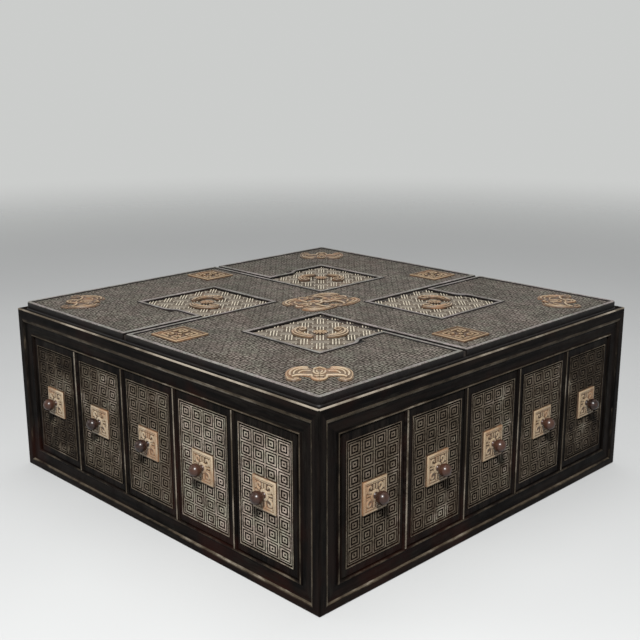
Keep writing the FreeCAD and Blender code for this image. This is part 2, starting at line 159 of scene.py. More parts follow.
class MountSizes(bpy.types.PropertyGroup):
    """Sizes of the lid's carved mounts and their distances from its middle."""
    bat: length("Corner bat", "Span of a corner bat", 0.054)
    bat_place: length("Corner bat place", "Middle of a corner bat, along each side", 0.163)
    plaque: length("Plaque", "Side of a plaque", 0.035)
    plaque_place: length("Plaque place", "Middle of a plaque", PLAQUE_HIGH[0] - 0.0175)
    cloud: length("Cloud", "Span of a panel mount", 0.05)
    centre_bat: length("Centre bat", "Span of a bat of the middle pair", 0.056)
    centre_place: length("Centre bat place", "Middle of a centre bat, front to back", 0.018)
    centre_shift: length("Centre shift", "How far the upper one lies to the right", 0.002)


class Finishes(bpy.types.PropertyGroup):
    """Colours of the woods."""
    dark: tint("Dark wood", "Deep tone of the case", (0.0014, 0.0011, 0.0010))
    dark_warm: tint("Warm dark wood", "Lighter streaks of the case", (0.0080, 0.0055, 0.0045))
    # Pale of wear on the arrises, and also a painted highlight on the case's mouldings
    wear_and_highlight: tint("Worn arris", "Wood showing pale on worn arrises", (0.30, 0.262, 0.21))
    dust: tint("Fret lines", "Rubbed tops of the fret", (0.45, 0.398, 0.325))
    lid: tint("Lid ground", "Carved ground of the lid", (0.042, 0.034, 0.029))
    lid_dust: tint("Lid fret", "Rubbed tops of the lid's fret", (0.235, 0.21, 0.175))
    lid_bead: tint("Lid bead", "Foot of the lid's bead", (0.0055, 0.0043, 0.0043))
    # Pale of the bead's rubbed crest, laid on as a painted highlight too
    bead_crest_highlight: tint("Bead crest", "Rubbed crest of the lid's bead", (0.25, 0.232, 0.216))
    bars: tint("Pale bars", "Bars of the light panels", (0.60, 0.535, 0.41))
    panel: tint("Panel ground", "Ground of the light panels", (0.155, 0.127, 0.098))
    box: tint("Boxwood", "Raised parts of the mounts", (0.41, 0.328, 0.228))
    # Laid on the mounts' flanks by their slope, partly as painted shade
    box_amber: tint("Amber boxwood", "Flanks of the mounts", (0.29, 0.2, 0.112))
    box_deep: tint("Boxwood hollows", "Hollows of the mounts", (0.06, 0.034, 0.019))
    knob: tint("Knob", "Turned plum wood", (0.017, 0.0080, 0.0058))
    inner: tint("Inner wood", "Plain wood of trays and boards", (0.17, 0.085, 0.045))


class ChestSettings(bpy.types.PropertyGroup):
    """Everything a user may change."""
    case: bpy.props.PointerProperty(type=CaseSizes)
    front: bpy.props.PointerProperty(type=FrontSizes)
    lid: bpy.props.PointerProperty(type=LidSizes)
    mounts: bpy.props.PointerProperty(type=MountSizes)
    finish: bpy.props.PointerProperty(type=Finishes)


def settings():
    """The sizes and colours in force."""
    return bpy.context.scene.chest


# Materials

# Each wood's material, and the slot of the part that its pieces fill
WOODS = {"case": ("case wood", "dark_wood"), "lid": ("lid ground wood", "dark_wood"),
         "lid_bead": ("lid bead wood", "dark_wood"),
         "panel": ("panel ground wood", "light_panel"), "bars": ("pale bars", "light_panel"),
         "inner": ("inner wood", "inner_wood"), "box": ("carved boxwood", "boxwood"),
         "knob": ("knob wood", "knob_wood")}


def shaded(colour, *shares):
    """A colour with its red, green and blue each taken to a share, or all to the same one."""
    shares = shares * 3 if len(shares) == 1 else shares
    return tuple(min(c * k, 1.0) for c, k in zip(colour, shares))


class Shader:
    """A small helper that adds nodes to one material."""

    def __init__(self, name):
        self.material = bpy.data.materials.new(WOODS[name][0] if name in WOODS else name)
        self.material.use_nodes = True
        self.tree = self.material.node_tree
        self.surface = self.tree.nodes["Principled BSDF"]
        self.place = self.add("ShaderNodeTexCoord").outputs["Object"]

    def add(self, kind, **values):
        """A new node with its settings."""
        node = self.tree.nodes.new(kind)
        for key, value in values.items():
            setattr(node, key, value)
        return node

    def put(self, socket, value):
        """Give a socket a link or a value."""
        if isinstance(value, bpy.types.NodeSocket):
            self.tree.links.new(value, socket)
        else:
            socket.default_value = value

    def attribute(self, name, output="Fac"):
        """A value that a piece's faces carry."""
        return self.add("ShaderNodeAttribute", attribute_name=name).outputs[output]

    def noise(self, vector, scale, detail=3.0, rough=0.55):
        """Cloudy noise from 0 to 1."""
        node = self.add("ShaderNodeTexNoise")
        self.put(node.inputs["Vector"], vector)
        self.put(node.inputs["Scale"], scale)
        self.put(node.inputs["Detail"], detail)
        self.put(node.inputs["Roughness"], rough)
        return node.outputs["Fac"]

    def math(self, kind, a, b=0.0, clamp=False):
        """One sum of two values."""
        node = self.add("ShaderNodeMath", operation=kind, use_clamp=clamp)
        self.put(node.inputs[0], a)
        self.put(node.inputs[1], b)
        return node.outputs[0]

    def span(self, value, low, high, to_low=0.0, to_high=1.0):
        """A value eased from one range to another."""
        node = self.add("ShaderNodeMapRange", interpolation_type="SMOOTHSTEP")
        self.put(node.inputs["Value"], value)
        for key, number in (("From Min", low), ("From Max", high), ("To Min", to_low),
                            ("To Max", to_high)):
            self.put(node.inputs[key], number)
        return node.outputs["Result"]

    def mix(self, amount, a, b, blend="MIX"):
        """Two colours mixed by an amount."""
        node = self.add("ShaderNodeMix", data_type="RGBA", blend_type=blend)
        colours = [socket for socket in node.inputs if socket.type == "RGBA"]
        self.put(node.inputs["Factor"], amount)
        for socket, value in zip(colours, (a, b)):
            if not isinstance(value, bpy.types.NodeSocket):
                value = (*value, 1.0)
            self.put(socket, value)
        return [socket for socket in node.outputs if socket.type == "RGBA"][0]

    def along_grain(self, stretch):
        """Coordinates drawn out along the grain that a piece's faces carry."""
        grain = self.attribute("grain", "Vector")
        squeeze = self.add("ShaderNodeVectorMath", operation="MULTIPLY_ADD")
        self.put(squeeze.inputs[0], grain)
        self.put(squeeze.inputs[1], (stretch - 1,) * 3)
        self.put(squeeze.inputs[2], (1, 1, 1))
        drawn = self.add("ShaderNodeVectorMath", operation="MULTIPLY")
        self.put(drawn.inputs[0], self.place)
        self.put(drawn.inputs[1], squeeze.outputs[0])
        return drawn.outputs[0]

    def bump(self, height, distance, strength):
        """Raise and sink the surface's shading by a height."""
        node = self.add("ShaderNodeBump")
        self.put(node.inputs["Strength"], strength)
        self.put(node.inputs["Distance"], distance)
        self.put(node.inputs["Height"], height)
        self.put(self.surface.inputs["Normal"], node.outputs["Normal"])

    def finish(self, colour, rough, **sockets):
        """Give the surface its colour, roughness and other values."""
        self.put(self.surface.inputs["Base Color"], colour)
        self.put(self.surface.inputs["Roughness"], rough)
        for name, value in sockets.items():
            self.surface.inputs[name.replace("_", " ")].default_value = value
        return self.material


def dark_wood(name, deep, warm, rub_and_highlight, dusty, gloss=0.34, shine=0.03, speck=0.45, ruddy=0.55):
    """Near-black wood: streaks along the grain, arrises painted pale as wear and as a painted
    highlight, and pale fret lines.
    """
    s = Shader(name)
    drawn = s.along_grain(0.05)
    fibres = s.noise(drawn, 1300, 2)
    specks = s.noise(s.place, 420, 3, 0.7)
    # Streaks along the grain, with redder patches
    streaks = s.noise(drawn, 210, 4)
    patches = s.noise(s.place, 13, 3)
    tone = s.mix(s.span(streaks, 0.35, 0.72), deep, warm)
    tone = s.mix(s.span(patches, 0.5, 0.7, 0, ruddy), tone, shaded(warm, 2.2, 0.9, 0.7))
    # Fine scratches, which haze the surface in places
    scratches = s.math("MULTIPLY", s.noise(s.along_grain(0.08), 130, 4, 0.75),
                       s.span(s.noise(s.along_grain(0.1), 800, 2, 0.7), 0.35, 0.6, 0.85, 1.15))
    haze = s.math("MULTIPLY", s.span(scratches, 0.46, 0.72),
                  s.span(s.noise(s.place, 19, 2), 0.4, 0.65, 0.2, 0.9))
    tone = s.mix(haze, tone, shaded(rub_and_highlight, 0.035))
    # Arrises painted pale, unevenly along the grain: partly wear, partly a painted highlight on the
    # mouldings' crests and edges
    wear_and_highlight = s.math("ADD", s.attribute("arris"), s.math("MULTIPLY", s.math(
        "SUBTRACT", s.noise(s.along_grain(0.3), 120, 4, 0.7), 0.5), 1.2))
    rubbed = s.math("MULTIPLY", s.span(wear_and_highlight, 0.2, 1.05),
                    s.span(s.noise(s.place, 12, 5, 0.62), 0.38, 0.6, 0.45, 0.9))
    tone = s.mix(s.span(rubbed, 0.02, 0.4), tone, shaded(rub_and_highlight, 0.2, 0.18, 0.155))
    tone = s.mix(s.span(rubbed, 0.35, 1.05), tone, rub_and_highlight)
    # Dust on the fret, caked in places and broken into blotches and crumbs; on the lid's bead the
    # same marks are a painted highlight on its crest
    dust = s.attribute("dust")
    caked = s.math("MULTIPLY", s.span(s.noise(s.place, 24, 4, 0.6), 0.52, 0.72, 0, 0.32),
                   s.math("MULTIPLY", dust, 5, True))
    dusted = s.span(s.math("ADD", dust, caked), 0.05, 1.05)
    blotch = s.span(s.noise(s.place, 62, 3, 0.6), 0.3, 0.7, 0.6, 1.0)
    crumbs = s.span(specks, 0.3, 0.6, 1 - speck, 1.0)
    dusted = s.math("MULTIPLY", dusted, s.math("MULTIPLY", blotch, crumbs))
    pale = s.mix(s.span(s.noise(s.place, 17, 3), 0.42, 0.6), dusty,
                 shaded(dusty, 0.80, 0.82, 0.82))
    pale = s.mix(s.span(s.noise(s.place, 75, 3, 0.7), 0.4, 0.62), s.mix(
        0.5, pale, (1.0, 0.86, 0.92), "MULTIPLY"), s.mix(0.5, pale, (0.84, 0.94, 0.86), "MULTIPLY"))
    tone = s.mix(s.span(dusted, 0, 0.3), tone, shaded(dusty, 0.19, 0.166, 0.14))
    tone = s.mix(s.span(dusted, 0.12, 1), tone, pale)
    # The gloss, dulled by dust, and the open fibres
    rough = s.span(s.noise(s.place, 90, 4), 0.3, 0.7, gloss, gloss + 0.18)
    rough = s.math("ADD", rough, s.math("MULTIPLY", dusted, 0.25), True)
    s.bump(s.math("ADD", fibres, s.math("MULTIPLY", specks, 0.6)), 0.00016, 0.55)
    return s.finish(tone, rough, Specular_IOR_Level=shine)


def inner_wood(name, colour):
    """Plain reddish wood with an open grain, for trays and boards."""
    s = Shader(name)
    drawn = s.along_grain(0.04)
    streaks = s.noise(drawn, 150, 4)
    pores = s.noise(drawn, 1500, 2, 0.7)
    deep = shaded(colour, 0.5)
    tone = s.mix(s.span(streaks, 0.3, 0.7), deep, shaded(colour, 1.5))
    tone = s.mix(s.span(pores, 0.55, 0.7, 0, 0.6), tone, deep)
    rough = s.span(pores, 0.3, 0.7, 0.5, 0.72)
    s.bump(pores, 0.0002, 0.5)
    return s.finish(tone, rough)


def boxwood(name, raised, amber, hollow):
    """Waxed carved boxwood: pale where rubbed, amber on the flanks and dark in the hollows, the
    flanks' darkening being partly painted shade.
    """
    s = Shader(name)
    patches = s.noise(s.place, 95, 3)
    fine = s.noise(s.place, 900, 3, 0.65)
    tone = s.mix(s.span(patches, 0.46, 0.72, 0, 0.6), raised, amber)
    # Real hollows, age and grime darken through this value, and so does painted shade on sloping
    # flanks and bar sides
    sunk = s.attribute("hollow")
    tone = s.mix(s.span(sunk, 0.12, 0.5), tone, amber)
    tone = s.mix(s.span(sunk, 0.42, 0.95), tone, hollow)
    tone = s.mix(s.span(fine, 0.5, 0.75, 0, 0.55), tone, hollow)
    rough = s.span(fine, 0.3, 0.7, 0.36, 0.58)
    tone = s.mix(s.span(s.noise(s.place, 47, 3, 0.6), 0.5, 0.66, 0, 0.55), tone,
                 shaded(amber, 0.8, 0.58, 0.5))
    s.bump(s.math("ADD", fine, patches), 0.0003, 0.5)
    return s.finish(tone, rough)


def polished_wood(name, colour):
    """The knobs' turned plum wood, rubbed bright by hands."""
    s = Shader(name)
    bands = s.noise(s.place, 380, 3)
    tone = s.mix(s.span(bands, 0.35, 0.7), shaded(colour, 0.5), shaded(colour, 1.9))
    tone = s.mix(s.span(s.noise(s.place, 8, 2), 0.44, 0.6, 0, 0.8), tone,
                 shaded(colour, 2.9, 2.6, 2.2))
    return s.finish(tone, s.span(bands, 0.3, 0.7, 0.28, 0.33), Specular_IOR_Level=0.38)


def pale_inlay(name, colour, dirt_and_shade):
    """The bars of the light panels, ivory pale on top and darker down their sides, as grime and
    painted shade.
    """
    s = Shader(name)
    spots = s.noise(s.place, 210, 3, 0.6)
    tone = s.mix(s.span(spots, 0.4, 0.66, 0, 0.8), colour, shaded(colour, 0.34))
    tone = s.mix(s.attribute("hollow"), tone, dirt_and_shade)
    return s.finish(tone, s.span(spots, 0.3, 0.7, 0.42, 0.6))


def make_materials():
    """Make every wood of the chest once."""
    tone = settings().finish
    dark_wood("case", tone.dark, tone.dark_warm, tone.wear_and_highlight, tone.dust)
    dark_wood("lid", shaded(tone.lid, 0.4), tone.lid, tone.wear_and_highlight, tone.lid_dust, 0.42, 0.3, 0.8,
              0.15)
    dark_wood("lid_bead", shaded(tone.lid_bead, 0.6), tone.lid_bead, tone.wear_and_highlight, tone.bead_crest_highlight,
              0.34, 0.2)
    dark_wood("panel", shaded(tone.panel, 0.5), tone.panel, tone.wear_and_highlight, tone.dust, 0.45,
              ruddy=0.1)
    inner_wood("inner", tone.inner)
    boxwood("box", tone.box, tone.box_amber, tone.box_deep)
    polished_wood("knob", tone.knob)
    pale_inlay("bars", tone.bars, shaded(tone.panel, 0.6))


# Shaping helpers


def new_mesh():
    """An empty bmesh with the layers that the woods read."""
    bm = bmesh.new()
    bm.faces.layers.float.new("arris")
    bm.faces.layers.float.new("dust")
    bm.faces.layers.float.new("hollow")
    bm.faces.layers.float_vector.new("grain")
    return bm


def mark(bm, faces, **values):
    """Write layer values, such as how pale their arrises are painted, on faces."""
    for key, value in values.items():
        kind = bm.faces.layers.float_vector if key == "grain" else bm.faces.layers.float
        layer = kind[key]
        for face in faces:
            face[layer] = value


def step_in(bm, faces, steps, each=False):
    """Carve inward from flat faces: (thickness, depth, layer values) for each ring."""
    for thickness, depth, values in steps:
        inset = bmesh.ops.inset_individual if each else bmesh.ops.inset_region
        ring = inset(bm, faces=faces, thickness=thickness, depth=depth,
                     use_even_offset=True)["faces"]
        mark(bm, ring, **values)


def round_edges(bm, edges, offset, segments, **values):
    """Bevel edges and mark the new faces."""
    made = bmesh.ops.bevel(bm, geom=edges, offset=offset, offset_type="OFFSET",
                           segments=segments, profile=0.5, affect="EDGES", material=-1,
                           clamp_overlap=True)
    mark(bm, made["faces"], **values)


def widest(bm, direction):
    """The largest flat face that looks along a direction."""
    direction = Vector(direction)
    bm.normal_update()
    return max((face for face in bm.faces if face.normal.dot(direction) > 0.99),
               key=lambda face: face.calc_area())


def box_mesh(bm, low, high):
    """A box between two corners; returns its vertices."""
    low, high = Vector(low), Vector(high)
    size = high - low
    matrix = Matrix.Translation((low + high) / 2) @ Matrix.Diagonal((*size, 1))
    return bmesh.ops.create_cube(bm, size=1, matrix=matrix)["verts"]


def faces_of(verts):
    """All faces that touch some vertices."""
    return list({face for vert in verts for face in vert.link_faces})


def edges_of(verts):
    """All edges that touch some vertices."""
    return list({edge for vert in verts for edge in vert.link_edges})


def verts_in(geometry):
    """The vertices among what an operator made."""
    return [item for item in geometry if isinstance(item, bmesh.types.BMVert)]


def island_of(start):
    """All vertices that edges join to one vertex."""
    island, queue = set(), [start]
    while queue:
        vert = queue.pop()
        if vert not in island:
            island.add(vert)
            queue += [edge.other_vert(vert) for edge in vert.link_edges]
    return island


def flat_face(bm, points, z):
    """A flat face that looks up, through points in plan."""
    face = bm.faces.new([bm.verts.new((x, y, z)) for x, y in points])
    face.normal_update()
    if face.normal.z < 0:
        face.normal_flip()
    return face


def thicken(bm, face, thickness):
    """Thicken a flat face downward into a closed slab; returns the slab's vertices."""
    made = bmesh.ops.extrude_face_region(bm, geom=[face], use_keep_orig=True)["geom"]
    lower = verts_in(made)
    bmesh.ops.translate(bm, vec=(0, 0, -thickness), verts=lower)
    verts = list(face.verts) + lower
    bmesh.ops.recalc_face_normals(bm, faces=faces_of(verts))
    return verts


def raised_bar(bm, low, high, easing, top=0.0, arris=0.25):
    """A bar eased at its top edges: darker down its sides as grime and painted shade, less on its
    top and arrises.
    """
    faces = faces_of(box_mesh(bm, low, high))
    mark(bm, faces, hollow=0.9)
    face = [f for f in faces if f.normal.z > 0.9][0]
    mark(bm, [face], hollow=top)
    round_edges(bm, list(face.edges), easing, 1, hollow=arris)


def turn(bm, quarter):
    """Turn a mesh a number of quarter turns, its grain with it."""
    matrix = Matrix.Rotation(math.radians(90 * quarter), 3, "Z")
    bmesh.ops.rotate(bm, cent=(0, 0, 0), matrix=matrix, verts=bm.verts)
    if quarter % 2:
        layer = bm.faces.layers.float_vector["grain"]
        for face in bm.faces:
            x, y, z = face[layer]
            face[layer] = (y, x, z)


def move(bm, verts, angle, axis, shift):
    """Turn vertices about an axis through the origin, then shift them."""
    bmesh.ops.rotate(bm, cent=(0, 0, 0), matrix=Matrix.Rotation(angle, 3, axis), verts=verts)
    bmesh.ops.translate(bm, vec=shift, verts=verts)


def mesh_of(bm, name):
    """A bmesh turned into a named mesh and freed."""
    mesh = bpy.data.meshes.new(name)
    bm.to_mesh(mesh)
    bm.free()
    return mesh


def add_mesh(bm, mesh):
    """Add a finished mesh to a bmesh, drop it and return its new vertices."""
    before = len(bm.verts)
    bm.from_mesh(mesh)
    bpy.data.meshes.remove(mesh)
    bm.verts.ensure_lookup_table()
    return bm.verts[before:]


def object_of(name, data):
    """A new object that shows a mesh, curve, light or camera in the scene."""
    obj = bpy.data.objects.new(name, data)
    bpy.context.scene.collection.objects.link(obj)
    return obj


def piece(bm, name, body, nodes, wood, smooth=None):
    """Turn a bmesh into a piece of one wood that rides on a body and stands for nodes."""
    material, slot = WOODS[wood]
    mesh = mesh_of(bm, name)
    mesh.materials.append(bpy.data.materials[material])
    if smooth is not None:
        mesh.shade_smooth()
        mesh.set_sharp_from_angle(angle=math.radians(smooth))
    obj = object_of(name, mesh)
    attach(obj, body)
    if nodes:
        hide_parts(*nodes)


def arc(radius, count):
    """Distances from the two flats along a quarter round, from the first flat on."""
    steps = [math.pi / 2 * k / count for k in range(count + 1)]
    return [(radius * (1 - math.sin(a)), radius * (1 - math.cos(a))) for a in steps]


# The mitred frames of the case

# How pale the strips of each member are painted, as wear and as a painted highlight
WEAR_AND_HIGHLIGHT = {"top": 0.72, "bottom": 0.52, "near_post": 0.62, "post": 0.3}


def face_rings():
    """Rings of the front's moulding from its outer arris to the back of the opening.

    Each is (side, top, bottom, depth, wear and highlight): distances from the outer edges, the
    depth behind the face, and how pale the strip up to the next ring is painted, partly as wear and
    partly as a painted highlight on the step's edge and the bead's crest.
    """
    case = settings().case
    step = (case.post_band, case.top_band, case.bottom_band)
    opening = (case.depth, case.height - case.high, case.low)
    inner_bands = tuple(b - a for a, b in zip(step, opening))
    edge, bead = case.edge, case.bead

    def ring(line, bands, offset, depth, wear_and_highlight):
        """A ring on a line, moved outward by an offset in the bands' proportions."""
        return (*(at - offset * band / bands[0] for at, band in zip(line, bands)), depth, wear_and_highlight)

    rounding = list(reversed(arc(case.arris, 6)))[3:]
    rings = [(inward, inward, inward, depth, 0.06) for inward, depth in rounding]
    rings[-1] = (*rings[-1][:4], 0.0)
    rings += [ring(step, step, edge * out, depth, wear_and_highlight) for out, depth, wear_and_highlight in (
        (2.3, 0, 0.85), (1.5, 0.12 * edge, 1.2), (0.9, 0.5 * edge, 1.2), (0.5, edge, 0.4),
        (0.2, case.step * 0.85, 0), (-0.8, case.step, 0))]
    rings += [ring(opening, inner_bands, bead * out, case.step - case.bead_height * up, wear_and_highlight)
              for out, up, wear_and_highlight in ((1, 0, 0.1), (0.92, 0.45, 0.5), (0.74, 0.82, 0.9),
                                    (0.5, 1, 0.95), (0.26, 0.82, 0.85), (0.08, 0.45, 0.4),
                                    (0, 0, 0))]
    return rings + [ring(opening, inner_bands, 0, case.depth, 0)]


def chain(bm, points):
    """Vertices joined by edges in the order given."""
    verts = [bm.verts.new(point) for point in points]
    for pair in zip(verts, verts[1:]):
        bm.edges.new(pair)
    return verts


def mitre_face(bm, rings, place):
    """The mitred end of a moulding: its outline carried back to the corner's diagonal."""
    outline = chain(bm, [place(ring, ring[3]) for ring in rings])
    made = bmesh.ops.extrude_edge_only(bm, edges=edges_of(outline))["geom"]
    depths = {place(ring, ring[3]): place(ring, ring[0]) for ring in rings}
    for vert in verts_in(made):
        vert.co = depths[min(depths, key=lambda key: (Vector(key) - vert.co).length)]
    return outline


def draw_out(bm, move):
    """Carry an end face along a member to its other end and close it."""
    bmesh.ops.remove_doubles(bm, verts=bm.verts, dist=2e-6)
    made = bmesh.ops.extrude_face_region(bm, geom=bm.faces[:], use_keep_orig=True)["geom"]
    for vert in verts_in(made):
        vert.co = move(vert.co)
    bmesh.ops.recalc_face_normals(bm, faces=bm.faces)


def mark_strips(bm, rings, distance, wear):
    """Mark how worn each strip of the moulding is, by its distance from the outer edge."""
    for face in bm.faces:
        inward, depth = distance(face.calc_center_median())
        best = min(zip(rings, rings[1:]), key=lambda pair: math.hypot(
            (pair[0][0] + pair[1][0]) / 2 - inward, (pair[0][3] + pair[1][3]) / 2 - depth))
        mark(bm, [face], arris=best[0][4] * wear)


def rail_mesh(upper):
    """The front's top or bottom rail, mitred at both ends."""
    case = settings().case
    rings = face_rings()

    def place(ring, depth):
        z = case.height - ring[1] if upper else ring[2]
        return (case.half - max(ring[0], depth), depth - case.half, z)

    bm = new_mesh()
    outline = mitre_face(bm, rings, place)
    inner = case.half - case.depth
    rounding = arc(case.arris, 6)[:3]
    if upper:
        seat = case.height - case.seat
        rest = [(inner, seat), (case.seat_half, seat), (case.seat_half, seat + case.seat / 3),
                (case.half - case.rim, case.height)]
        rest += [(case.half - a, case.height - b) for a, b in rounding]
    else:
        rest = [(inner, 0)] + [(case.half - a, b) for a, b in rounding]
    ends = [place(rings[-1], rings[-1][3]), place(rings[0], rings[0][3])]
    chain(bm, [ends[0]] + [(reach, -reach, z) for reach, z in rest] + [ends[1]])
    bmesh.ops.remove_doubles(bm, verts=bm.verts, dist=2e-6)
    bmesh.ops.holes_fill(bm, edges=[edge for edge in bm.edges if abs(
        edge.verts[0].co.x + edge.verts[0].co.y) + abs(
        edge.verts[1].co.x + edge.verts[1].co.y) < 1e-5])
    draw_out(bm, lambda co: Vector((-co.x, co.y, co.z)))
    edge_of = case.height if upper else 0
    mark_strips(bm, [(ring[1] if upper else ring[2], 0, 0, ring[3], ring[4]) for ring in rings],
                lambda co: (abs(co.z - edge_of), co.y + case.half),
                WEAR_AND_HIGHLIGHT["top" if upper else "bottom"])
    # The rim's upward faces painted pale: wear, and a painted highlight along the outer edge of its
    # crest
    for face in bm.faces:
        middle = face.calc_center_median()
        if upper and middle.z > case.height - case.arris and face.normal.z > 0.2:
            mark(bm, [face], arris=1.1 if middle.y < case.rim * 0.4 - case.half else 0.3)
    mark(bm, bm.faces, grain=(1, 0, 0))
    return bm


def post_mesh(wear):
    """The front right corner post, between its mitres."""
    case = settings().case
    rings = face_rings()

    def place(ring, depth):
        return (case.half - ring[0], depth - case.half, case.height - ring[1])

    bm = new_mesh()
    mitre_face(bm, rings, place)
    swap = Matrix(((0, -1, 0), (-1, 0, 0), (0, 0, 1)))
    other = bmesh.ops.duplicate(bm, geom=bm.verts[:] + bm.edges[:] + bm.faces[:])["geom"]
    bmesh.ops.transform(bm, matrix=swap.to_4x4(), verts=verts_in(other))

    def lower(co):
        inward = case.half - min(abs(co.x), abs(co.y))
        best = min(rings, key=lambda ring: abs(ring[0] - inward))
        return Vector((co.x, co.y, best[2]))

    draw_out(bm, lower)
    mark_strips(bm, rings, lambda co: (case.half - min(abs(co.x), abs(co.y)),
                                       case.half - max(abs(co.x), abs(co.y))), wear)
    mark(bm, bm.faces, grain=(0, 0, 1))
    return bm


class CHEST_OT_case_frames(bpy.types.Operator):
    """Model the corner posts and the top and bottom rails"""
    bl_idname = "chest.case_frames"
    bl_label = "Case frames"

    def execute(self, context):
        for quarter, name in enumerate(SIDES):
            for upper, place in ((True, "top"), (False, "bottom")):
                bm = rail_mesh(upper)
                turn(bm, quarter)
                piece(bm, f"moulded_{place}_rail_{name}", "case", [f"{place}_rail_{name}"],
                      "case")
            bm = post_mesh(WEAR_AND_HIGHLIGHT["post" if quarter else "near_post"])
            turn(bm, quarter)
            piece(bm, f"moulded_post_{POST_NAMES[quarter]}", "case",
                  [f"corner_post_{POST_NAMES[quarter]}"], "case")
        return {"FINISHED"}


# Boards between and behind the drawers


def eased_copy(node, offset=0.0004):
    """The solids of a frame node, merged, with every edge eased and the grain set."""
    bm = new_mesh()
    bm.from_mesh(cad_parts[node].data)
    bmesh.ops.remove_doubles(bm, verts=bm.verts, dist=1e-6)
    bmesh.ops.dissolve_limit(bm, angle_limit=math.radians(1), verts=bm.verts, edges=bm.edges)
    mark(bm, bm.faces, arris=0.0, dust=0.0, hollow=0.0)
    left = set(bm.verts)
    while left:
        island = island_of(next(iter(left)))
        left -= island
        size = [max(vert.co[k] for vert in island) - min(vert.co[k] for vert in island)
                for k in range(3)]
        longest = size.index(max(size))
        mark(bm, faces_of(island), grain=tuple(float(k == longest) for k in range(3)))
    sharp = [edge for edge in bm.edges if edge.is_manifold and edge.calc_face_angle() > 0.5]
    round_edges(bm, sharp, offset, 2, arris=0.15)
    return bm


def nosed_boards(node):
    """Upright boards whose front edges are rounded, with a crest painted pale as wear and as a
    painted highlight.
    """
    case = settings().case
    bm = eased_copy(node, 0.0001)
    crest = case.half - case.step + case.bead_height
    for face in bm.faces:
        middle = face.calc_center_median()
        reach = max(abs(middle.x), abs(middle.y))
        if reach > crest - 0.0007:
            mark(bm, [face], arris=0.8)
        elif reach > crest - 0.0022:
            mark(bm, [face], arris=0.12)
    return bm


class CHEST_OT_partitions(bpy.types.Operator):
    """Model the dividers, the well's walls, the base and the deck"""
    bl_idname = "chest.partitions"
    bl_label = "Partitions and boards"

    def execute(self, context):
        for node in ("drawer_dividers", "well_walls"):
            piece(nosed_boards(node), f"nosed_{node}", "case", [node], "case")
        for node in ("base_board", "deck_boards"):
            piece(eased_copy(node), f"eased_{node}", "case", [node], "inner")
        piece(eased_copy("lid_battens"), "eased_battens", "lid", ["lid_battens"], "inner")
        for side in SIDES:
            for number in range(2, 6):
                body = f"{side}_drawer_{number}"
                piece(eased_copy(f"{body}_tray"), f"{body}_boards", body, [f"{body}_tray"],
                      "inner")
        return {"FINISHED"}


# Drawer fronts, plates and knobs


# Widths of half the border line and of groove and line in turn, in lines, and slab thickness
FRONT_FRET, FRONT_SLAB = (0.6, 0.82, 1.1, 1.1, 1.2), 0.0016
LID_FRET, LID_SLAB = (0.5, 0.95, 0.92), 0.0015


def fret_steps(line, relief, widths):
    """Insets that carve nested square lines into a cell, starting on its border line."""
    wall, sunk = line * 0.09, {"dust": 0.12}
    steps = [(line * widths[0], 0, {"dust": 1})]
    for groove, crest in zip(widths[1::2], widths[2::2]):
        steps += [(wall, -relief, sunk), (line * groove, 0, sunk), (wall, relief, sunk),
                  (line * crest, 0, {"dust": 1})]
        sunk = {"dust": 0.03}
    return steps + [(wall, -relief, sunk)]


def fret_slab(bm, low, high, columns, rows, line, relief, thickness, widths, dust):
    """A slab in the XY plane, carved with cells of nested square lines."""
    grid = bmesh.ops.create_grid(bm, x_segments=columns, y_segments=rows, size=0.5)["verts"]
    cell_w = (high[0] - low[0]) / columns
    cell_h = (high[1] - low[1]) / rows
    mean = math.sqrt(cell_w * cell_h)
    bmesh.ops.scale(bm, vec=(columns * mean, rows * mean, 1), verts=grid)
    top = faces_of(grid)
    bmesh.ops.recalc_face_normals(bm, faces=top)
    if top[0].normal.z < 0:
        bmesh.ops.reverse_faces(bm, faces=top)
    border = [edge for edge in edges_of(grid) if edge.is_boundary]
    skirt = bmesh.ops.extrude_edge_only(bm, edges=border)["geom"]
    lower = verts_in(skirt)
    bmesh.ops.translate(bm, vec=(0, 0, -thickness), verts=lower)
    rim = [item for item in skirt if isinstance(item, bmesh.types.BMEdge) and item.is_boundary]
    bmesh.ops.holes_fill(bm, edges=rim)
    bmesh.ops.recalc_face_normals(bm, faces=faces_of(set(grid) | set(lower)))
    mark(bm, top, dust=0.14)
    step_in(bm, top, fret_steps(line, relief, widths), each=True)
    verts = list(island_of(grid[0]))
    bmesh.ops.scale(bm, vec=(cell_w / mean, cell_h / mean, 1), verts=verts)
    bmesh.ops.translate(bm, vec=((low[0] + high[0]) / 2, (low[1] + high[1]) / 2, 0), verts=verts)
    layer = bm.faces.layers.float["dust"]
    for face in faces_of(verts):
        face[layer] = face[layer] * dust
    return verts


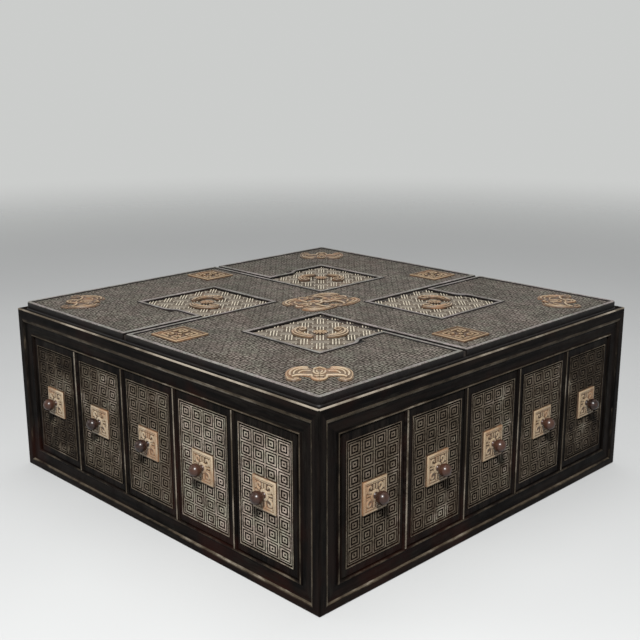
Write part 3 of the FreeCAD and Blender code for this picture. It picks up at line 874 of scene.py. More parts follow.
def front_mesh(x_mid, dust):
    """A drawer front: eased board, bead frame and a field of fret."""
    size = settings().front
    bm = new_mesh()
    verts = box_mesh(bm, (x_mid - size.width / 2, -size.face, size.low),
                     (x_mid + size.width / 2, -size.back, size.high))
    round_edges(bm, list(widest(bm, (0, -1, 0)).edges), 0.0007, 2, arris=0.12)
    face = widest(bm, (0, -1, 0))
    step_in(bm, [face], [(size.border - 0.0007, 0, {})])
    shift = size.border_end - size.border
    middle = (size.low + size.high) / 2
    for sign in (-1, 1):
        end = [vert for vert in face.verts if (vert.co.z - middle) * sign > 0]
        bmesh.ops.translate(bm, vec=(0, 0, -sign * shift), verts=end)
    # The bead's crest is painted pale, the more so on dustier fronts: partly wear, partly a painted
    # highlight
    bead, wear_and_highlight = size.bead, 0.2 + 0.65 * dust
    step_in(bm, [face], [(width, depth, {"arris": rubbed, "dust": pale})
                         for width, depth, rubbed, pale in (
                             (bead * 0.12, 0.0004, 0.1, 0),
                             (bead * 0.22, 0.0003, wear_and_highlight * 0.6, 0.2), (bead * 0.32, 0, 0, wear_and_highlight),
                             (bead * 0.22, -0.0003, 0, wear_and_highlight * 0.6),
                             (bead * 0.12, -0.001, 0, 0), (size.gap, 0, 0, 0))])
    mark(bm, [face], arris=0, dust=0)
    xs, zs = [v.co.x for v in face.verts], [v.co.z for v in face.verts]
    low, high = (min(xs) - x_mid, min(zs)), (max(xs) - x_mid, max(zs))
    slab = fret_slab(bm, low, high, size.columns, size.rows, size.line, size.relief,
                     FRONT_SLAB, FRONT_FRET, dust)
    move(bm, slab, math.pi / 2, "X", (x_mid, -size.face - 0.0003, 0))
    mark(bm, bm.faces, grain=(0, 0, 1))
    return bm


def bead_paths(paths, radius, squash):
    """Round beads along paths of (x, y, width share), flattened, as one mesh."""
    curve = bpy.data.curves.new("bead", "CURVE")
    curve.dimensions = "3D"
    curve.bevel_depth = radius
    curve.bevel_resolution = 2
    curve.resolution_u = 3
    curve.use_fill_caps = True
    for path in paths:
        spline = curve.splines.new("NURBS")
        spline.points.add(len(path) - 1)
        for point, (x, y, width) in zip(spline.points, path):
            point.co = (x, y, 0, 1)
            point.radius = width
        spline.order_u = 3
        spline.use_endpoint_u = True
    holder = object_of("bead", curve)
    bpy.context.view_layer.update()
    evaluated = holder.evaluated_get(bpy.context.evaluated_depsgraph_get())
    mesh = bpy.data.meshes.new_from_object(evaluated)
    bpy.data.objects.remove(holder)
    bpy.data.curves.remove(curve)
    mesh.transform(Matrix.Diagonal((1, 1, squash, 1)))
    return mesh


def curl(x, y, radius, start, turns, way=1):
    """A path that winds inward round a point."""
    path = []
    count = int(10 * abs(turns)) + 2
    for k in range(count + 1):
        along = k / count
        angle = start + way * turns * 2 * math.pi * along
        reach = radius * (1 - 0.78 * along)
        path.append((x + reach * math.cos(angle), y + reach * math.sin(angle),
                     1 - 0.35 * along))
    return path


def shade_and_dirt_on_flanks(bm, verts, base=0.0):
    """Darken what slopes away on a carving that lies face up, by its slope: partly grime and wax,
    partly painted shade.
    """
    layer = bm.faces.layers.float["hollow"]
    for face in faces_of(verts):
        face.normal_update()
        face[layer] = min(1.0, base + 1.15 * (1 - max(face.normal.z, 0)))


def dulled(bm, amount):
    """Darken a whole carving by an amount, as age has some of them."""
    layer = bm.faces.layers.float["hollow"]
    for face in bm.faces:
        face[layer] = min(1.0, face[layer] + amount)


def relief(bm, mesh, height, base=0.0):
    """Add a bead mesh at a height, pale on its crest and darker down its flanks, partly grime and
    partly painted shade.
    """
    verts = add_mesh(bm, mesh)
    bmesh.ops.translate(bm, vec=(0, 0, height), verts=verts)
    shade_and_dirt_on_flanks(bm, verts, base)


def sunk_square(bm, half, low, high, easing, shades, steps):
    """A square slab with eased edges and a rim that steps down to a floor.

    The shades are how dark its sides, its eased edges and its floor are, and each step is
    (width, depth, shade). Returns the floor's level.
    """
    sides, eased, ground = shades
    box_mesh(bm, (-half, -half, low), (half, half, high))
    mark(bm, bm.faces, hollow=sides)
    round_edges(bm, list(widest(bm, (0, 0, 1)).edges), easing, 2, hollow=eased)
    top = widest(bm, (0, 0, 1))
    step_in(bm, [top], [(width, depth, {"hollow": shade}) for width, depth, shade in steps])
    mark(bm, [top], hollow=ground)
    return top.calc_center_median().z


def plate_mesh(x_mid):
    """The carved square plate: a rim round four hooked scrolls and a middle boss."""
    size = settings().front
    half = size.plate / 2
    bm = new_mesh()
    floor = sunk_square(bm, half, -size.plate_thickness, 0, 0.0006, (0.85, 0.1, 0.85), (
        (0.0012, 0, 0), (0.0002, -0.0004, 0.5), (0.0004, 0, 0.7), (0.0002, 0.0002, 0.2),
        (0.0004, 0, 0.05), (0.0002, -0.0004, 0.8)))
    inner = half - 0.0026
    scrolls = both(curl(inner * 0.52, inner * 0.6, inner * 0.33, math.radians(250), 0.9))
    scrolls += both(curl(inner * 0.56, -inner * 0.56, inner * 0.34, math.radians(100), 0.85, -1))
    bars = []
    for path in (((0.14, 0.92, 1), (0.14, 0.5, 1)), ((0.16, -0.92, 1), (0.12, -0.45, 1)),
                 ((0.92, 0.14, 0.9), (0.5, 0.12, 1)), ((0.9, -0.12, 0.8), (0.56, -0.12, 0.9)),
                 ((0.92, 0.9, 0.9), (0.9, 0.34, 0.9)), ((0.93, -0.9, 0.9), (0.3, -0.94, 0.9))):
        bars += both([(inner * x, inner * y, w) for x, y, w in path])
    relief(bm, bead_paths(scrolls, 0.0015, 0.5), floor)
    relief(bm, bead_paths(bars, 0.0010, 0.66), floor)
    shade_and_dirt_on_flanks(bm, dome(bm, 0, 0, floor, 0.0052, 0.0009))
    move(bm, bm.verts, math.pi / 2, "X", (x_mid, -size.plate_face, size.plate_mid))
    return bm


def lathe(bm, outline, segments=32):
    """Turn an outline of (radius, y) round the Y axis."""
    verts = [bm.verts.new((radius, y, 0)) for radius, y in outline]
    edges = [bm.edges.new(pair) for pair in zip(verts, verts[1:])]
    bmesh.ops.spin(bm, geom=verts + edges, cent=(0, 0, 0), axis=(0, 1, 0), dvec=(0, 0, 0),
                   angle=2 * math.pi, steps=segments, use_merge=True, use_duplicate=False)
    bmesh.ops.remove_doubles(bm, verts=bm.verts, dist=1e-6)
    bmesh.ops.recalc_face_normals(bm, faces=bm.faces)


def knob_mesh(x_mid):
    """A ball on a neck and a collar."""
    size = settings().front
    base = -(size.plate_face - 0.0007)
    middle = -size.plate_face - size.reach
    radius, neck = size.ball / 2, size.neck / 2
    collar = size.collar / 2
    outline = [(0, base + 0.0004), (collar * 0.9, base + 0.0004), (collar, base),
               (collar, base - 0.0005), (collar * 0.88, base - 0.0008),
               (neck * 1.15, base - 0.0012), (neck * 0.9, base - 0.0023),
               (neck * 0.95, base - 0.0036)]
    start = math.asin(neck / radius)
    for k in range(15):
        angle = start + (math.pi - start) * k / 14
        outline.append((radius * math.sin(angle), middle + radius * math.cos(angle)))
    outline[-1] = (0, middle - radius)
    bm = new_mesh()
    lathe(bm, outline)
    bmesh.ops.translate(bm, vec=(x_mid, 0, size.plate_mid), verts=bm.verts)
    return bm


# How much pale dust the fret of each drawer holds, and how far age has darkened the carvings
DUST = {"front": (0.33, 0.46, 0.52, 0.8, 0.8), "right": (0.48, 0.45, 0.48, 0.46, 0.34),
        "back": (0.5, 0.6, 0.55, 0.6, 0.5), "left": (0.5, 0.55, 0.65, 0.55, 0.45)}
AGE = {"plate": (0.14, 0.28, 0.2, 0.16), "bat": (0, 0.24, 0.3, 0.34),
       "plaque": (0.3, 0.4, 0.32, 0.34), "cloud": (0, 0.12, 0.12, 0.12),
       "centre_bat": (0.22, 0.16)}


class CHEST_OT_drawer_fronts(bpy.types.Operator):
    """Model the twenty fronts with their plates and knobs"""
    bl_idname = "chest.drawer_fronts"
    bl_label = "Drawer fronts"

    def execute(self, context):
        size = settings().front
        for quarter, side in enumerate(SIDES):
            for number in range(1, 6):
                x_mid = (number - 3) * size.pitch
                body, nodes, tag = "case", ["false_fronts"], f"{side}_fixed"
                plates, knobs = ["false_front_plates"], ["false_front_knobs"]
                if number > 1:
                    body = f"{side}_drawer_{number}"
                    tag, nodes = body, [f"{body}_front"]
                    plates = knobs = []
                plate = plate_mesh(x_mid)
                dulled(plate, AGE["plate"][quarter])
                for bm, part, stands_for, wood, smooth in (
                        (front_mesh(x_mid, DUST[side][number - 1]), "carved_front", nodes,
                         "case", None),
                        (plate, "plate", plates, "box", 40),
                        (knob_mesh(x_mid), "knob", knobs, "knob", 40)):
                    turn(bm, quarter)
                    piece(bm, f"{tag}_{part}", body, stands_for, wood, smooth)
        return {"FINISHED"}


# The lid

BEAD_CROWN = 0.0016  # how far the pinwheel's bead rises from its foot to its crest


def rounded_corner(reach, radius):
    """Points in plan round the corner of a square, from its right side to its back."""
    turns = [math.radians(15 * k) for k in range(7)]
    return [(reach - radius + radius * math.cos(a), reach - radius + radius * math.sin(a))
            for a in turns]


def all_round(points):
    """A quarter of a plan carried round to all four."""
    return [Matrix.Rotation(math.radians(90 * quarter), 2) @ Vector(point)
            for quarter in range(4) for point in points]


def ogee():
    """Shares along and up of the curved step in a pocket's far side."""
    return [(k / 8, 0.5 - 0.5 * math.cos(math.pi * k / 8)) for k in range(9)]


def board_outline():
    """The pinwheel board's plan: a rounded square less four pockets and grooves."""
    size = settings().lid
    edge, near, far = size.board_half, size.near, size.far
    short, groove = far - size.jog, near + size.groove
    start = (near + far - size.jog_length) / 2
    return all_round([
        (edge, -near), *rounded_corner(edge, size.corner), (groove, edge), (groove, short),
        *((start + size.jog_length * along, short + size.jog * up) for along, up in ogee()),
        (far, far), (far, near), (near, near)])


def bead_steps(width, drop, crest):
    """Insets that round a bead over a width and step down behind it."""
    # Graded pale up the outer flank to the crest, as rubbing and a painted highlight, and left dark
    # down the inner flank as painted shade
    count, pale = 4, (0, 0.2, 0.8, 1)
    turns, side = [math.pi / 2 * k / count for k in range(count + 1)], 0.24
    rise = [(width * side * (math.cos(a) - math.cos(b)), math.sin(b) - math.sin(a), crest * c)
            for a, b, c in zip(turns, turns[1:], pale)]
    steps = [(reach, BEAD_CROWN * up, {"dust": dust}) for reach, up, dust in rise]
    steps.append((width * (1 - 2 * side), 0, {"dust": crest}))
    return steps + [(reach, -drop * up, {"dust": dust * 0.9 if dust == crest else 0})
                    for reach, up, dust in reversed(rise)]


def lid_board_mesh():
    """The lid board: a rounded square with a full rounded edge."""
    size = settings().lid
    bm = new_mesh()
    face = flat_face(bm, all_round(rounded_corner(size.half, size.corner)), size.high)
    thicken(bm, face, size.high - size.low)
    mark(bm, bm.faces, grain=(1, 0, 0))
    round_edges(bm, list(face.edges), 0.0018, 4, arris=0.08)
    return bm


def pinwheel_mesh():
    """The pinwheel board with a bead along its whole outline."""
    size = settings().lid
    bm = new_mesh()
    foot = size.top - BEAD_CROWN
    top = flat_face(bm, board_outline(), foot)
    thicken(bm, top, foot - size.high)
    mark(bm, bm.faces, grain=(1, 0, 0))
    step_in(bm, [top], bead_steps(size.bead, size.ground + 0.0007, 0.9))
    mark(bm, [top], dust=0)
    return bm


def ground_mesh():
    """The fret that covers the ground of the pinwheel board, block by block."""
    size = settings().lid
    margin = size.bead + size.bead_gap
    inner, outer = size.near - margin, size.board_half - margin
    pocket = size.far + margin
    beyond = size.near + size.groove + margin
    blocks = [(inner, outer, -inner, inner), (pocket, outer, inner, outer),
              (beyond, pocket, pocket, outer),
              (beyond, (size.near + size.far - size.jog_length) / 2, pocket - size.jog, pocket)]
    level = size.top - size.ground
    bm = new_mesh()
    for quarter in range(5):
        turned = new_mesh()
        if quarter < 4:
            verts = box_mesh(turned, (size.near - 0.0002, size.near, size.high - 0.0001),
                             (size.near + size.groove + 0.0002, size.board_half - 0.0012,
                              size.top - 0.0022))
            mark(turned, faces_of(verts), grain=(0, 1, 0))
        chosen = blocks if quarter < 4 else [(-inner, inner, -inner, inner)]
        for x0, x1, y0, y1 in chosen:
            columns = max(1, round((x1 - x0) / size.cell))
            rows = max(1, round((y1 - y0) / size.cell))
            verts = fret_slab(turned, (x0, y0), (x1, y1), columns, rows, size.line,
                              size.relief, LID_SLAB, LID_FRET, 1.0)
            bmesh.ops.translate(turned, vec=(0, 0, level), verts=verts)
        turn(turned, quarter % 4)
        add_mesh(bm, mesh_of(turned, "part"))
    return bm


class CHEST_OT_lid_boards(bpy.types.Operator):
    """Model the lid board, the pinwheel board and its carved ground"""
    bl_idname = "chest.lid_boards"
    bl_label = "Lid boards"

    def execute(self, context):
        piece(lid_board_mesh(), "lid_edge_board", "lid", ["lid_board"], "lid_bead", 30)
        piece(pinwheel_mesh(), "beaded_pinwheel", "lid", ["pinwheel_board"], "lid_bead")
        piece(ground_mesh(), "carved_ground", "lid", ["pinwheel_board"], "lid")
        return {"FINISHED"}


def bar_mesh(bm, x, y, along_y, reach, faint):
    """One pale bar, eased at its top edges and darker down its sides, as grime and painted shade.
    """
    size = settings().lid
    across = size.bar * (0.32 if faint else 0.5)
    a, b = (across, reach) if along_y else (reach, across)
    top = size.panel - (size.bar_height * 0.45 if faint else 0)
    raised_bar(bm, (x - a, y - b, size.panel - size.bar_height), (x + a, y + b, top), 0.0002,
               top=0.42 if faint else 0.0, arris=0.9 if faint else 0.25)


# Half the length of a middle bar, of the bars beside it and of the dots between the groups
MIDDLE_BAR, SIDE_BAR, DOT = 0.0086, 0.0076, 0.0009
MAT_REACH = 0.085  # from the pocket's middle to the mat's corners, which are trimmed later


def mat_bars(bm, along):
    """A mat of bars in threes: bold ones in one direction, faint ones between them."""
    size = settings().lid
    spacing, pitch = size.lattice, size.bar_pitch
    for column in range(-6, 7):
        for row in range(-6, 7):
            x, y = column * spacing, row * spacing
            if abs(x) + abs(y) > MAT_REACH:
                continue
            upright = (column + row) % 2 == 0
            for strand in (-1, 0, 1):
                reach = SIDE_BAR if strand else MIDDLE_BAR
                dx, dy = (strand * pitch, 0) if upright else (0, strand * pitch)
                bar_mesh(bm, x + dx, y + dy, upright, reach, upright != along)
            bar_mesh(bm, x + spacing / 2, y + spacing / 2, along, DOT, False)


def trim(bm, point, normal):
    """Cut away what lies beyond a plane and close the cut."""
    geometry = list(bm.verts) + list(bm.edges) + list(bm.faces)
    cut = bmesh.ops.bisect_plane(bm, geom=geometry, plane_co=point, plane_no=normal,
                                 clear_outer=True, dist=1e-7)["geom_cut"]
    edges = [item for item in cut if isinstance(item, bmesh.types.BMEdge)]
    if edges:
        bmesh.ops.holes_fill(bm, edges=edges)


def light_panel_meshes(along):
    """The front right panel's ground, and its bars trimmed to the pocket."""
    size = settings().lid
    gap, margin = 0.0002, 0.0008
    near, far = size.near + gap, size.far - gap
    short, middle = far - size.jog, (size.near + size.far) / 2
    outline = [(near, -near), (near, -far), (far, -far)]
    outline += [(far - size.jog * up, -(middle + size.jog_length * (0.5 - along)))
                for along, up in ogee()]
    outline.append((short, -near))
    level = size.panel - size.bar_height + 0.0001
    ground = new_mesh()
    thicken(ground, flat_face(ground, outline, level), level - size.high)
    mark(ground, ground.faces, grain=(0.7, 0.7, 0))
    bars = new_mesh()
    for low, high, edge in ((near, middle, short), (middle, far, far)):
        part = new_mesh()
        mat_bars(part, along)
        move(part, part.verts, math.radians(-45), "Z", (middle, -middle, 0))
        for point, normal in (((near + margin, 0, 0), (-1, 0, 0)),
                              ((edge - margin, 0, 0), (1, 0, 0)),
                              ((0, -low, 0), (0, 1, 0)), ((0, -high, 0), (0, -1, 0))):
            trim(part, point, normal)
        add_mesh(bars, mesh_of(part, "part"))
    bmesh.ops.recalc_face_normals(bars, faces=bars.faces)
    return ground, bars


class CHEST_OT_light_panels(bpy.types.Operator):
    """Model the four light panels and their pale mat of bars"""
    bl_idname = "chest.light_panels"
    bl_label = "Light panels"

    def execute(self, context):
        for quarter, name in enumerate(POST_NAMES):
            ground, bars = light_panel_meshes(quarter % 2 == 1)
            for bm, part, wood in ((ground, "ground", "panel"), (bars, "bars", "bars")):
                turn(bm, quarter)
                piece(bm, f"panel_{part}_{name}", "lid", ["lid_light_panels"], wood)
        return {"FINISHED"}


# Carved mounts of the lid


def swept(points, steps=3):
    """A closed outline with its corners swept into curves."""
    out, count = [], len(points)
    for k in range(count):
        a, b, c, d = (Vector(points[(k + n) % count]) for n in (-1, 0, 1, 2))
        for step in range(steps):
            t = step / steps
            out.append(b + 0.5 * t * (c - a + t * (2 * a - 5 * b + 4 * c - d + t * (
                3 * b - a - 3 * c + d))))
    return out


def outline_plate(bm, points, thickness, level, sunk):
    """A thin plate of a given outline, its top at a level."""
    face = flat_face(bm, swept(points), level)
    mark(bm, faces_of(thicken(bm, face, thickness)), hollow=0.8)
    mark(bm, [face], hollow=sunk)


def both(path):
    """A path and its mirror image across the Y axis."""
    return [path, [(-x, y, w) for x, y, w in path]]


def dome(bm, x, y, z, radius, tall, **values):
    """A low rounded boss."""
    matrix = Matrix.Translation((x, y, z)) @ Matrix.Diagonal((radius, radius, tall, 1))
    verts = bmesh.ops.create_uvsphere(bm, u_segments=20, v_segments=10, radius=1,
                                      matrix=matrix)["verts"]
    mark(bm, faces_of(verts), **values)
    return verts


def relief_paths(bm, groups, radius, squash, scale):
    """Mirrored ridges: (darkness of the flanks, height, paths in millimetres)."""
    for base, height, paths in groups:
        lines = []
        for path in paths:
            lines += both([(x * scale, y * scale, w) for x, y, w in path])
        relief(bm, bead_paths(lines, radius, squash), height, base)


def bat_mesh(span):
    """A bat seen from above with its head towards -Y: banded wings, arms and a ringed body."""
    k = span / 0.054
    mm = 0.001 * k
    bm = new_mesh()
    half = [(2.6, -17.2), (5.8, -14.4), (7.4, -9.6), (10, -7.8), (14, -7), (18.6, -7.6),
            (16.2, -10), (14, -13.6), (15.6, -17), (20, -18), (24.6, -16.6), (27, -11.5),
            (27.3, -3), (26.8, 3.4), (24.4, 9.6), (20, 14), (14.4, 16.4), (9.4, 16),
            (8.4, 12.4), (6.6, 10.6), (4.4, 11.6), (1.8, 14.2)]
    outline = [(0, -17.6 * mm)] + [(x * mm, y * mm) for x, y in half] + [(0, 14.8 * mm)]
    outline += [(-x * mm, y * mm) for x, y in reversed(half)]
    outline_plate(bm, outline, 0.0006, 0.0006, 0.8)
    lip = [(9.8, 15.4, 0.4), (14.5, 15.7, 0.5), (19.8, 13.3, 0.55), (24, 8.8, 0.6),
           (26.2, 2.6, 0.6), (26.5, -4, 0.6), (25.8, -9, 0.5)]
    rim = [(9.4, 12.9, 0.6), (14, 13.2, 0.9), (18.6, 11.1, 1), (22, 7.2, 1), (23.8, 1.8, 1),
           (23.8, -3.6, 0.85), (22.9, -7, 0.6)]
    second = [(8.8, 9.6, 0.5), (13.2, 9.9, 0.85), (17.1, 8, 0.95), (19.8, 4.3, 0.9),
              (20.9, -0.4, 0.75), (20.3, -3.4, 0.5)]
    third = [(7, 5.2, 0.5), (10.8, 5.6, 0.85), (14, 4, 0.95), (16.3, 1, 0.9), (16.8, -2, 0.5)]
    arm = [(5.8, -5.2, 0.8), (9, -5.5, 1), (13, -4.9, 1.05), (17.2, -5.4, 1),
           (20.6, -7, 0.9), (22.2, -9.6, 0.7)]
    foot = [(25.4, -9.8, 0.8), (25.3, -13.4, 0.95), (22.4, -16.2, 1), (18.4, -16.2, 1),
            (15.9, -14, 0.85), (17.5, -11.9, 0.7), (20.2, -12.9, 0.5)]
    face = [(5.8, -5.8, 0.8), (6.2, -9.6, 0.95), (4.8, -13.8, 1), (2, -15.9, 1), (0, -16.3, 1)]
    brow = [(3.8, -6.4, 0.6), (2.6, -7.6, 0.75), (1, -7.2, 0.75), (0, -8.4, 0.8)]
    nose = [(2.4, -12.2, 0.5), (1.4, -13, 0.65), (0, -13.2, 0.65)]
    belly = [(4.5, 7.4, 0.6), (5, 3, 0.85), (4.2, -0.6, 0.9), (2.2, -3.2, 0.9), (0, -4, 0.9)]
    core = [(2, 6.8, 0.5), (2.4, 3, 0.75), (1.5, 0.4, 0.8), (0, -0.4, 0.8)]
    tail = [(5.2, 9.5, 0.6), (3.4, 10.2, 0.8), (1.8, 12, 0.8), (0, 13.2, 0.8)]
    relief_paths(bm, ((0.35, 0.0006, [lip, foot]), (0.15, 0.0007, [second, third, brow, core,
                                                                   nose, belly]),
                      (0, 0.0008, [rim, arm, face, tail])), 0.00118 * k, 0.72, mm)
    for side in (-1, 1):
        dome(bm, side * 2.6 * mm, -10.2 * mm, 0.0006, 1.1 * mm, 0.0006, hollow=0.95)
    bmesh.ops.scale(bm, vec=(0.95, 1.05, 1), verts=bm.verts)
    return bm


def cloud_mesh(span):
    """The panel mount: a curled crescent on each side of a small flower."""
    k = span / 0.05
    mm = 0.001 * k
    bm = new_mesh()
    half = [(5.6, -12.8), (6.8, -16.8), (12.6, -16.6), (18.8, -12.6), (23.4, -7), (25.2, 0),
            (24.8, 8), (21.6, 13.4), (16.6, 14.6), (12.4, 12), (11.6, 8), (14, 4.4),
            (16.6, 1.8), (16.2, -2), (14, -5.4), (10, -8.8)]
    for side in (-1, 1):
        outline_plate(bm, [(side * x * mm, y * mm) for x, y in half], 0.0014, 0.0014, 0.85)
    lip = [(7, -15.9, 0.5), (12.5, -15.6, 0.6), (18.2, -11.9, 0.65), (22.6, -6.5, 0.65),
           (24.4, 0.2, 0.65), (24, 7.6, 0.6), (21.2, 12.6, 0.5)]
    rim = [(6.8, -13.8, 0.7), (12, -13.1, 1), (16.8, -9.9, 1.1), (20.4, -5.2, 1.15),
           (22, 0.6, 1.1), (21.8, 7, 1.05), (19.6, 11.8, 1), (15.6, 12.8, 0.95), (12.6, 9.8, 0.9),
           (13, 5.4, 0.85), (16.8, 3.9, 0.75), (19, 6.6, 0.65), (16.8, 8.8, 0.6)]
    inner = [(8.2, -10.9, 0.6), (12.8, -8.9, 0.95), (16.7, -5, 1), (18.9, -0.6, 0.9),
             (18.8, 2.8, 0.6)]
    relief_paths(bm, ((0.1, 0.0013, [lip]), (0.3, 0.0015, [inner]), (0.22, 0.0017, [rim])),
                 0.0011 * k, 0.75, mm)
    paths = []
    for petal in range(12):
        angle = math.radians(30 * petal)
        cos, sin = math.cos(angle), math.sin(angle)
        paths.append([(cos * r * mm, sin * r * mm, t) for r, t in
                      ((2, 0.6), (3.8, 1), (5.8, 1.15), (6.8, 0.6))])
    relief(bm, bead_paths(paths, 0.0010 * k, 0.9), 0.0008, 0.45)
    shade_and_dirt_on_flanks(bm, dome(bm, 0, 0, 0.0008, 2.8 * mm, 0.0016), 0.4)
    return bm


def plaque_mesh(side):
    """A square plaque: a rim, a sunk channel and four square curls round a stud."""
    half = side / 2
    bm = new_mesh()
    floor = sunk_square(bm, half, 0, 0.0018, 0.0005, (0.6, 0.2, 1.0), (
        (0.0010, 0, 0.25), (0.0003, -0.0010, 0.8), (0.0018, 0, 1.0), (0.0003, 0.0007, 0.6),
        (0.0007, 0, 0.15), (0.0003, -0.0009, 0.8)))
    reach = half - 0.0053
    line, height = 0.0014, 0.0010
    for turned in range(4):
        spin = Matrix.Rotation(math.radians(90 * turned), 2)
        for path in ([(0.14, 0.93), (0.93, 0.93), (0.93, 0.2), (0.37, 0.2), (0.37, 0.64),
                      (0.66, 0.64), (0.66, 0.46)], [(-0.1, 0.1), (0.1, 0.1)]):
            points = [spin @ Vector((reach * x, reach * y)) for x, y in path]
            for first, last in zip(points, points[1:]):
                low = (min(first.x, last.x) - line / 2, min(first.y, last.y) - line / 2,
                       floor - 0.0003)
                high = (max(first.x, last.x) + line / 2, max(first.y, last.y) + line / 2,
                        floor + height)
                raised_bar(bm, low, high, 0.0003)
    return bm


class CHEST_OT_lid_mounts(bpy.types.Operator):
    """Carve the bats, plaques and panel mounts of the lid"""
    bl_idname = "chest.lid_mounts"
    bl_label = "Lid mounts"

    def execute(self, context):
        size, mounts = settings().lid, settings().mounts
        level = size.top - size.ground
        middle = (size.near + size.far) / 2

        def lay(bm, name, node, x, y, angle, z, age):
            """Lay a carving on the lid, turned, in its place and as dark as its age makes it."""
            dulled(bm, age)
            move(bm, bm.verts, angle, "Z", (x, y, z))
            piece(bm, name, "lid", [node], "box", 45)

        for quarter, name in enumerate(POST_NAMES):
            angle = math.radians(90 * quarter)
            for bm, kind, node, label, place, twist, z in (
                    (bat_mesh(mounts.bat), "bat", "corner_bats", name,
                     (mounts.bat_place, -mounts.bat_place), math.pi / 4, level),
                    (plaque_mesh(mounts.plaque), "plaque", "side_plaques", SIDES[quarter],
                     (0, -mounts.plaque_place), 0, level),
                    (cloud_mesh(mounts.cloud), "cloud", "panel_clouds", name,
                     (middle, -middle), math.pi / 4, size.panel)):
                x, y = Matrix.Rotation(angle, 2) @ Vector(place)
                lay(bm, f"{kind}_{label}", node, x, y, angle + twist, z, AGE[kind][quarter])
        for name, x, way, age in zip(("upper", "lower"), (mounts.centre_shift, 0), (1, -1),
                                     AGE["centre_bat"]):
            lay(bat_mesh(mounts.centre_bat), f"bat_{name}", "centre_bats", x,
                way * mounts.centre_place, 0 if way > 0 else math.pi, level, age)
        return {"FINISHED"}


# The stage

# Name, place, what it is aimed at, width in metres and power in watts
LAMPS = (("key lamp", (1.10, -1.22, 1.60), (0, 0, 0.08), 0.30, 80),
         ("high lamp", (-0.2, 0.3, 2.0), (0, 0, 0.1), 1.2, 8),
         ("left lamp", (-1.5, -1.5, 1.3), (0, 0, 0.08), 0.8, 4))
FLOOR_PALE, FLOOR_PALER = (0.47, 0.475, 0.475), (0.51, 0.515, 0.51)
FLOOR_GLOW = (0.12, 0.12, 0.12)  # what the floor throws back on the chest
ROOM_LIGHT, BACKDROP = (0.15, 0.155, 0.16, 1), (0.60, 0.61, 0.60, 1)
CAMERA_PLACE, CAMERA_TURNS = (0.6917, -0.6853, 0.4043), (45.31, 14.65, -0.14)


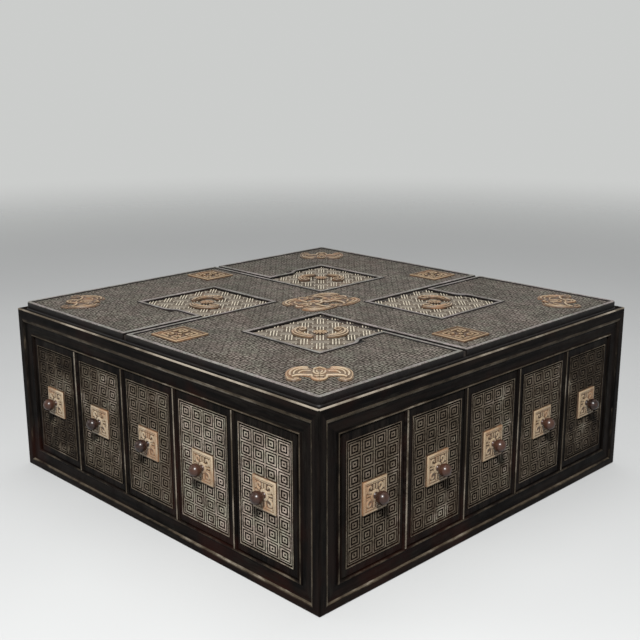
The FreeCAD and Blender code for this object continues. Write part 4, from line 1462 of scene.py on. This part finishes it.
class CHEST_OT_stage(bpy.types.Operator):
    """Set the floor, the soft lights, the background and the camera"""
    bl_idname = "chest.stage"
    bl_label = "Stage"

    def execute(self, context):
        scene = context.scene
        scene.view_settings.view_transform = "Standard"
        bm = bmesh.new()
        bmesh.ops.create_circle(bm, cap_ends=True, segments=96, radius=40)
        mesh = mesh_of(bm, "floor")
        floor = object_of("floor", mesh)
        s = Shader("pale floor")
        mottle = s.noise(s.place, 3, 3)
        pale = s.mix(mottle, FLOOR_PALE, FLOOR_PALER)
        floor_finish = s.finish(s.mix(self.seen(s.tree), FLOOR_GLOW, pale),
                                s.span(mottle, 0.2, 0.8, 0.7, 0.85))
        reach = s.add("ShaderNodeVectorMath", operation="LENGTH")
        s.put(reach.inputs[0], s.place)
        s.put(s.surface.inputs["Alpha"], s.span(reach.outputs["Value"], 0.9, 2.6, 1, 0))
        mesh.materials.append(floor_finish)
        for lamp in LAMPS:
            self.lamp(*lamp)
        world = bpy.data.worlds.new("studio")
        scene.world = world
        world.use_nodes = True
        tree = world.node_tree
        back = tree.nodes["Background"]
        shade = tree.nodes.new("ShaderNodeMix")
        shade.data_type = "RGBA"
        colours = [socket for socket in shade.inputs if socket.type == "RGBA"]
        colours[0].default_value = ROOM_LIGHT
        colours[1].default_value = BACKDROP
        tree.links.new(self.seen(tree), shade.inputs["Factor"])
        result = [socket for socket in shade.outputs if socket.type == "RGBA"][0]
        tree.links.new(result, back.inputs["Color"])
        self.camera(scene)
        return {"FINISHED"}

    def seen(self, tree):
        """1 for what is seen directly, in a shine or through glass, else 0."""
        path = tree.nodes.new("ShaderNodeLightPath").outputs
        value = path["Is Camera Ray"]
        for name in ("Is Glossy Ray", "Is Transmission Ray"):
            node = tree.nodes.new("ShaderNodeMath")
            node.operation = "MAXIMUM"
            tree.links.new(value, node.inputs[0])
            tree.links.new(path[name], node.inputs[1])
            value = node.outputs[0]
        return value

    def lamp(self, name, place, target, size, power):
        """A round soft lamp, aimed."""
        light = bpy.data.lights.new(name, "AREA")
        light.shape = "DISK"
        light.size = size
        light.energy = power
        lamp = object_of(name, light)
        lamp.location = place
        aim = Vector(target) - Vector(place)
        lamp.rotation_euler = aim.to_track_quat("-Z", "Y").to_euler()

    def camera(self, scene):
        """The camera where the photographer stood."""
        data = bpy.data.cameras.new("camera")
        data.sensor_width = 36
        data.sensor_fit = "HORIZONTAL"
        data.lens = 57.75
        data.clip_end = 200
        camera = object_of("camera", data)
        azimuth, elevation, roll = (math.radians(turn) for turn in CAMERA_TURNS)
        turned = Matrix.Rotation(azimuth, 4, "Z") @ Matrix.Rotation(math.pi / 2 - elevation, 4, "X")
        turned = turned @ Matrix.Rotation(roll, 4, "Z")
        camera.matrix_world = Matrix.Translation(CAMERA_PLACE) @ turned
        scene.camera = camera


class CHEST_PT_panel(bpy.types.Panel):
    """Lists the chest's steps in the sidebar"""
    bl_idname = "CHEST_PT_panel"
    bl_label = "Jewelry chest"
    bl_space_type = "VIEW_3D"
    bl_region_type = "UI"
    bl_category = "Chest"

    def draw(self, context):
        for step in STEPS:
            self.layout.operator(step.bl_idname)


STEPS = (CHEST_OT_stage, CHEST_OT_case_frames, CHEST_OT_partitions, CHEST_OT_drawer_fronts,
         CHEST_OT_lid_boards, CHEST_OT_light_panels, CHEST_OT_lid_mounts)
CLASSES = (CaseSizes, FrontSizes, LidSizes, MountSizes, Finishes, ChestSettings, *STEPS,
           CHEST_PT_panel)


def register():
    """Make the classes and the settings known."""
    for item in CLASSES:
        bpy.utils.register_class(item)
    bpy.types.Scene.chest = bpy.props.PointerProperty(type=ChestSettings)


def unregister():
    """Take them away again."""
    del bpy.types.Scene.chest
    for item in reversed(CLASSES):
        bpy.utils.unregister_class(item)


def main():
    """Register, make the chest step by step."""
    register()
    make_materials()
    for step in STEPS:
        group, name = step.bl_idname.split(".")
        getattr(getattr(bpy.ops, group), name)()


if __name__ == "__main__":
    main()
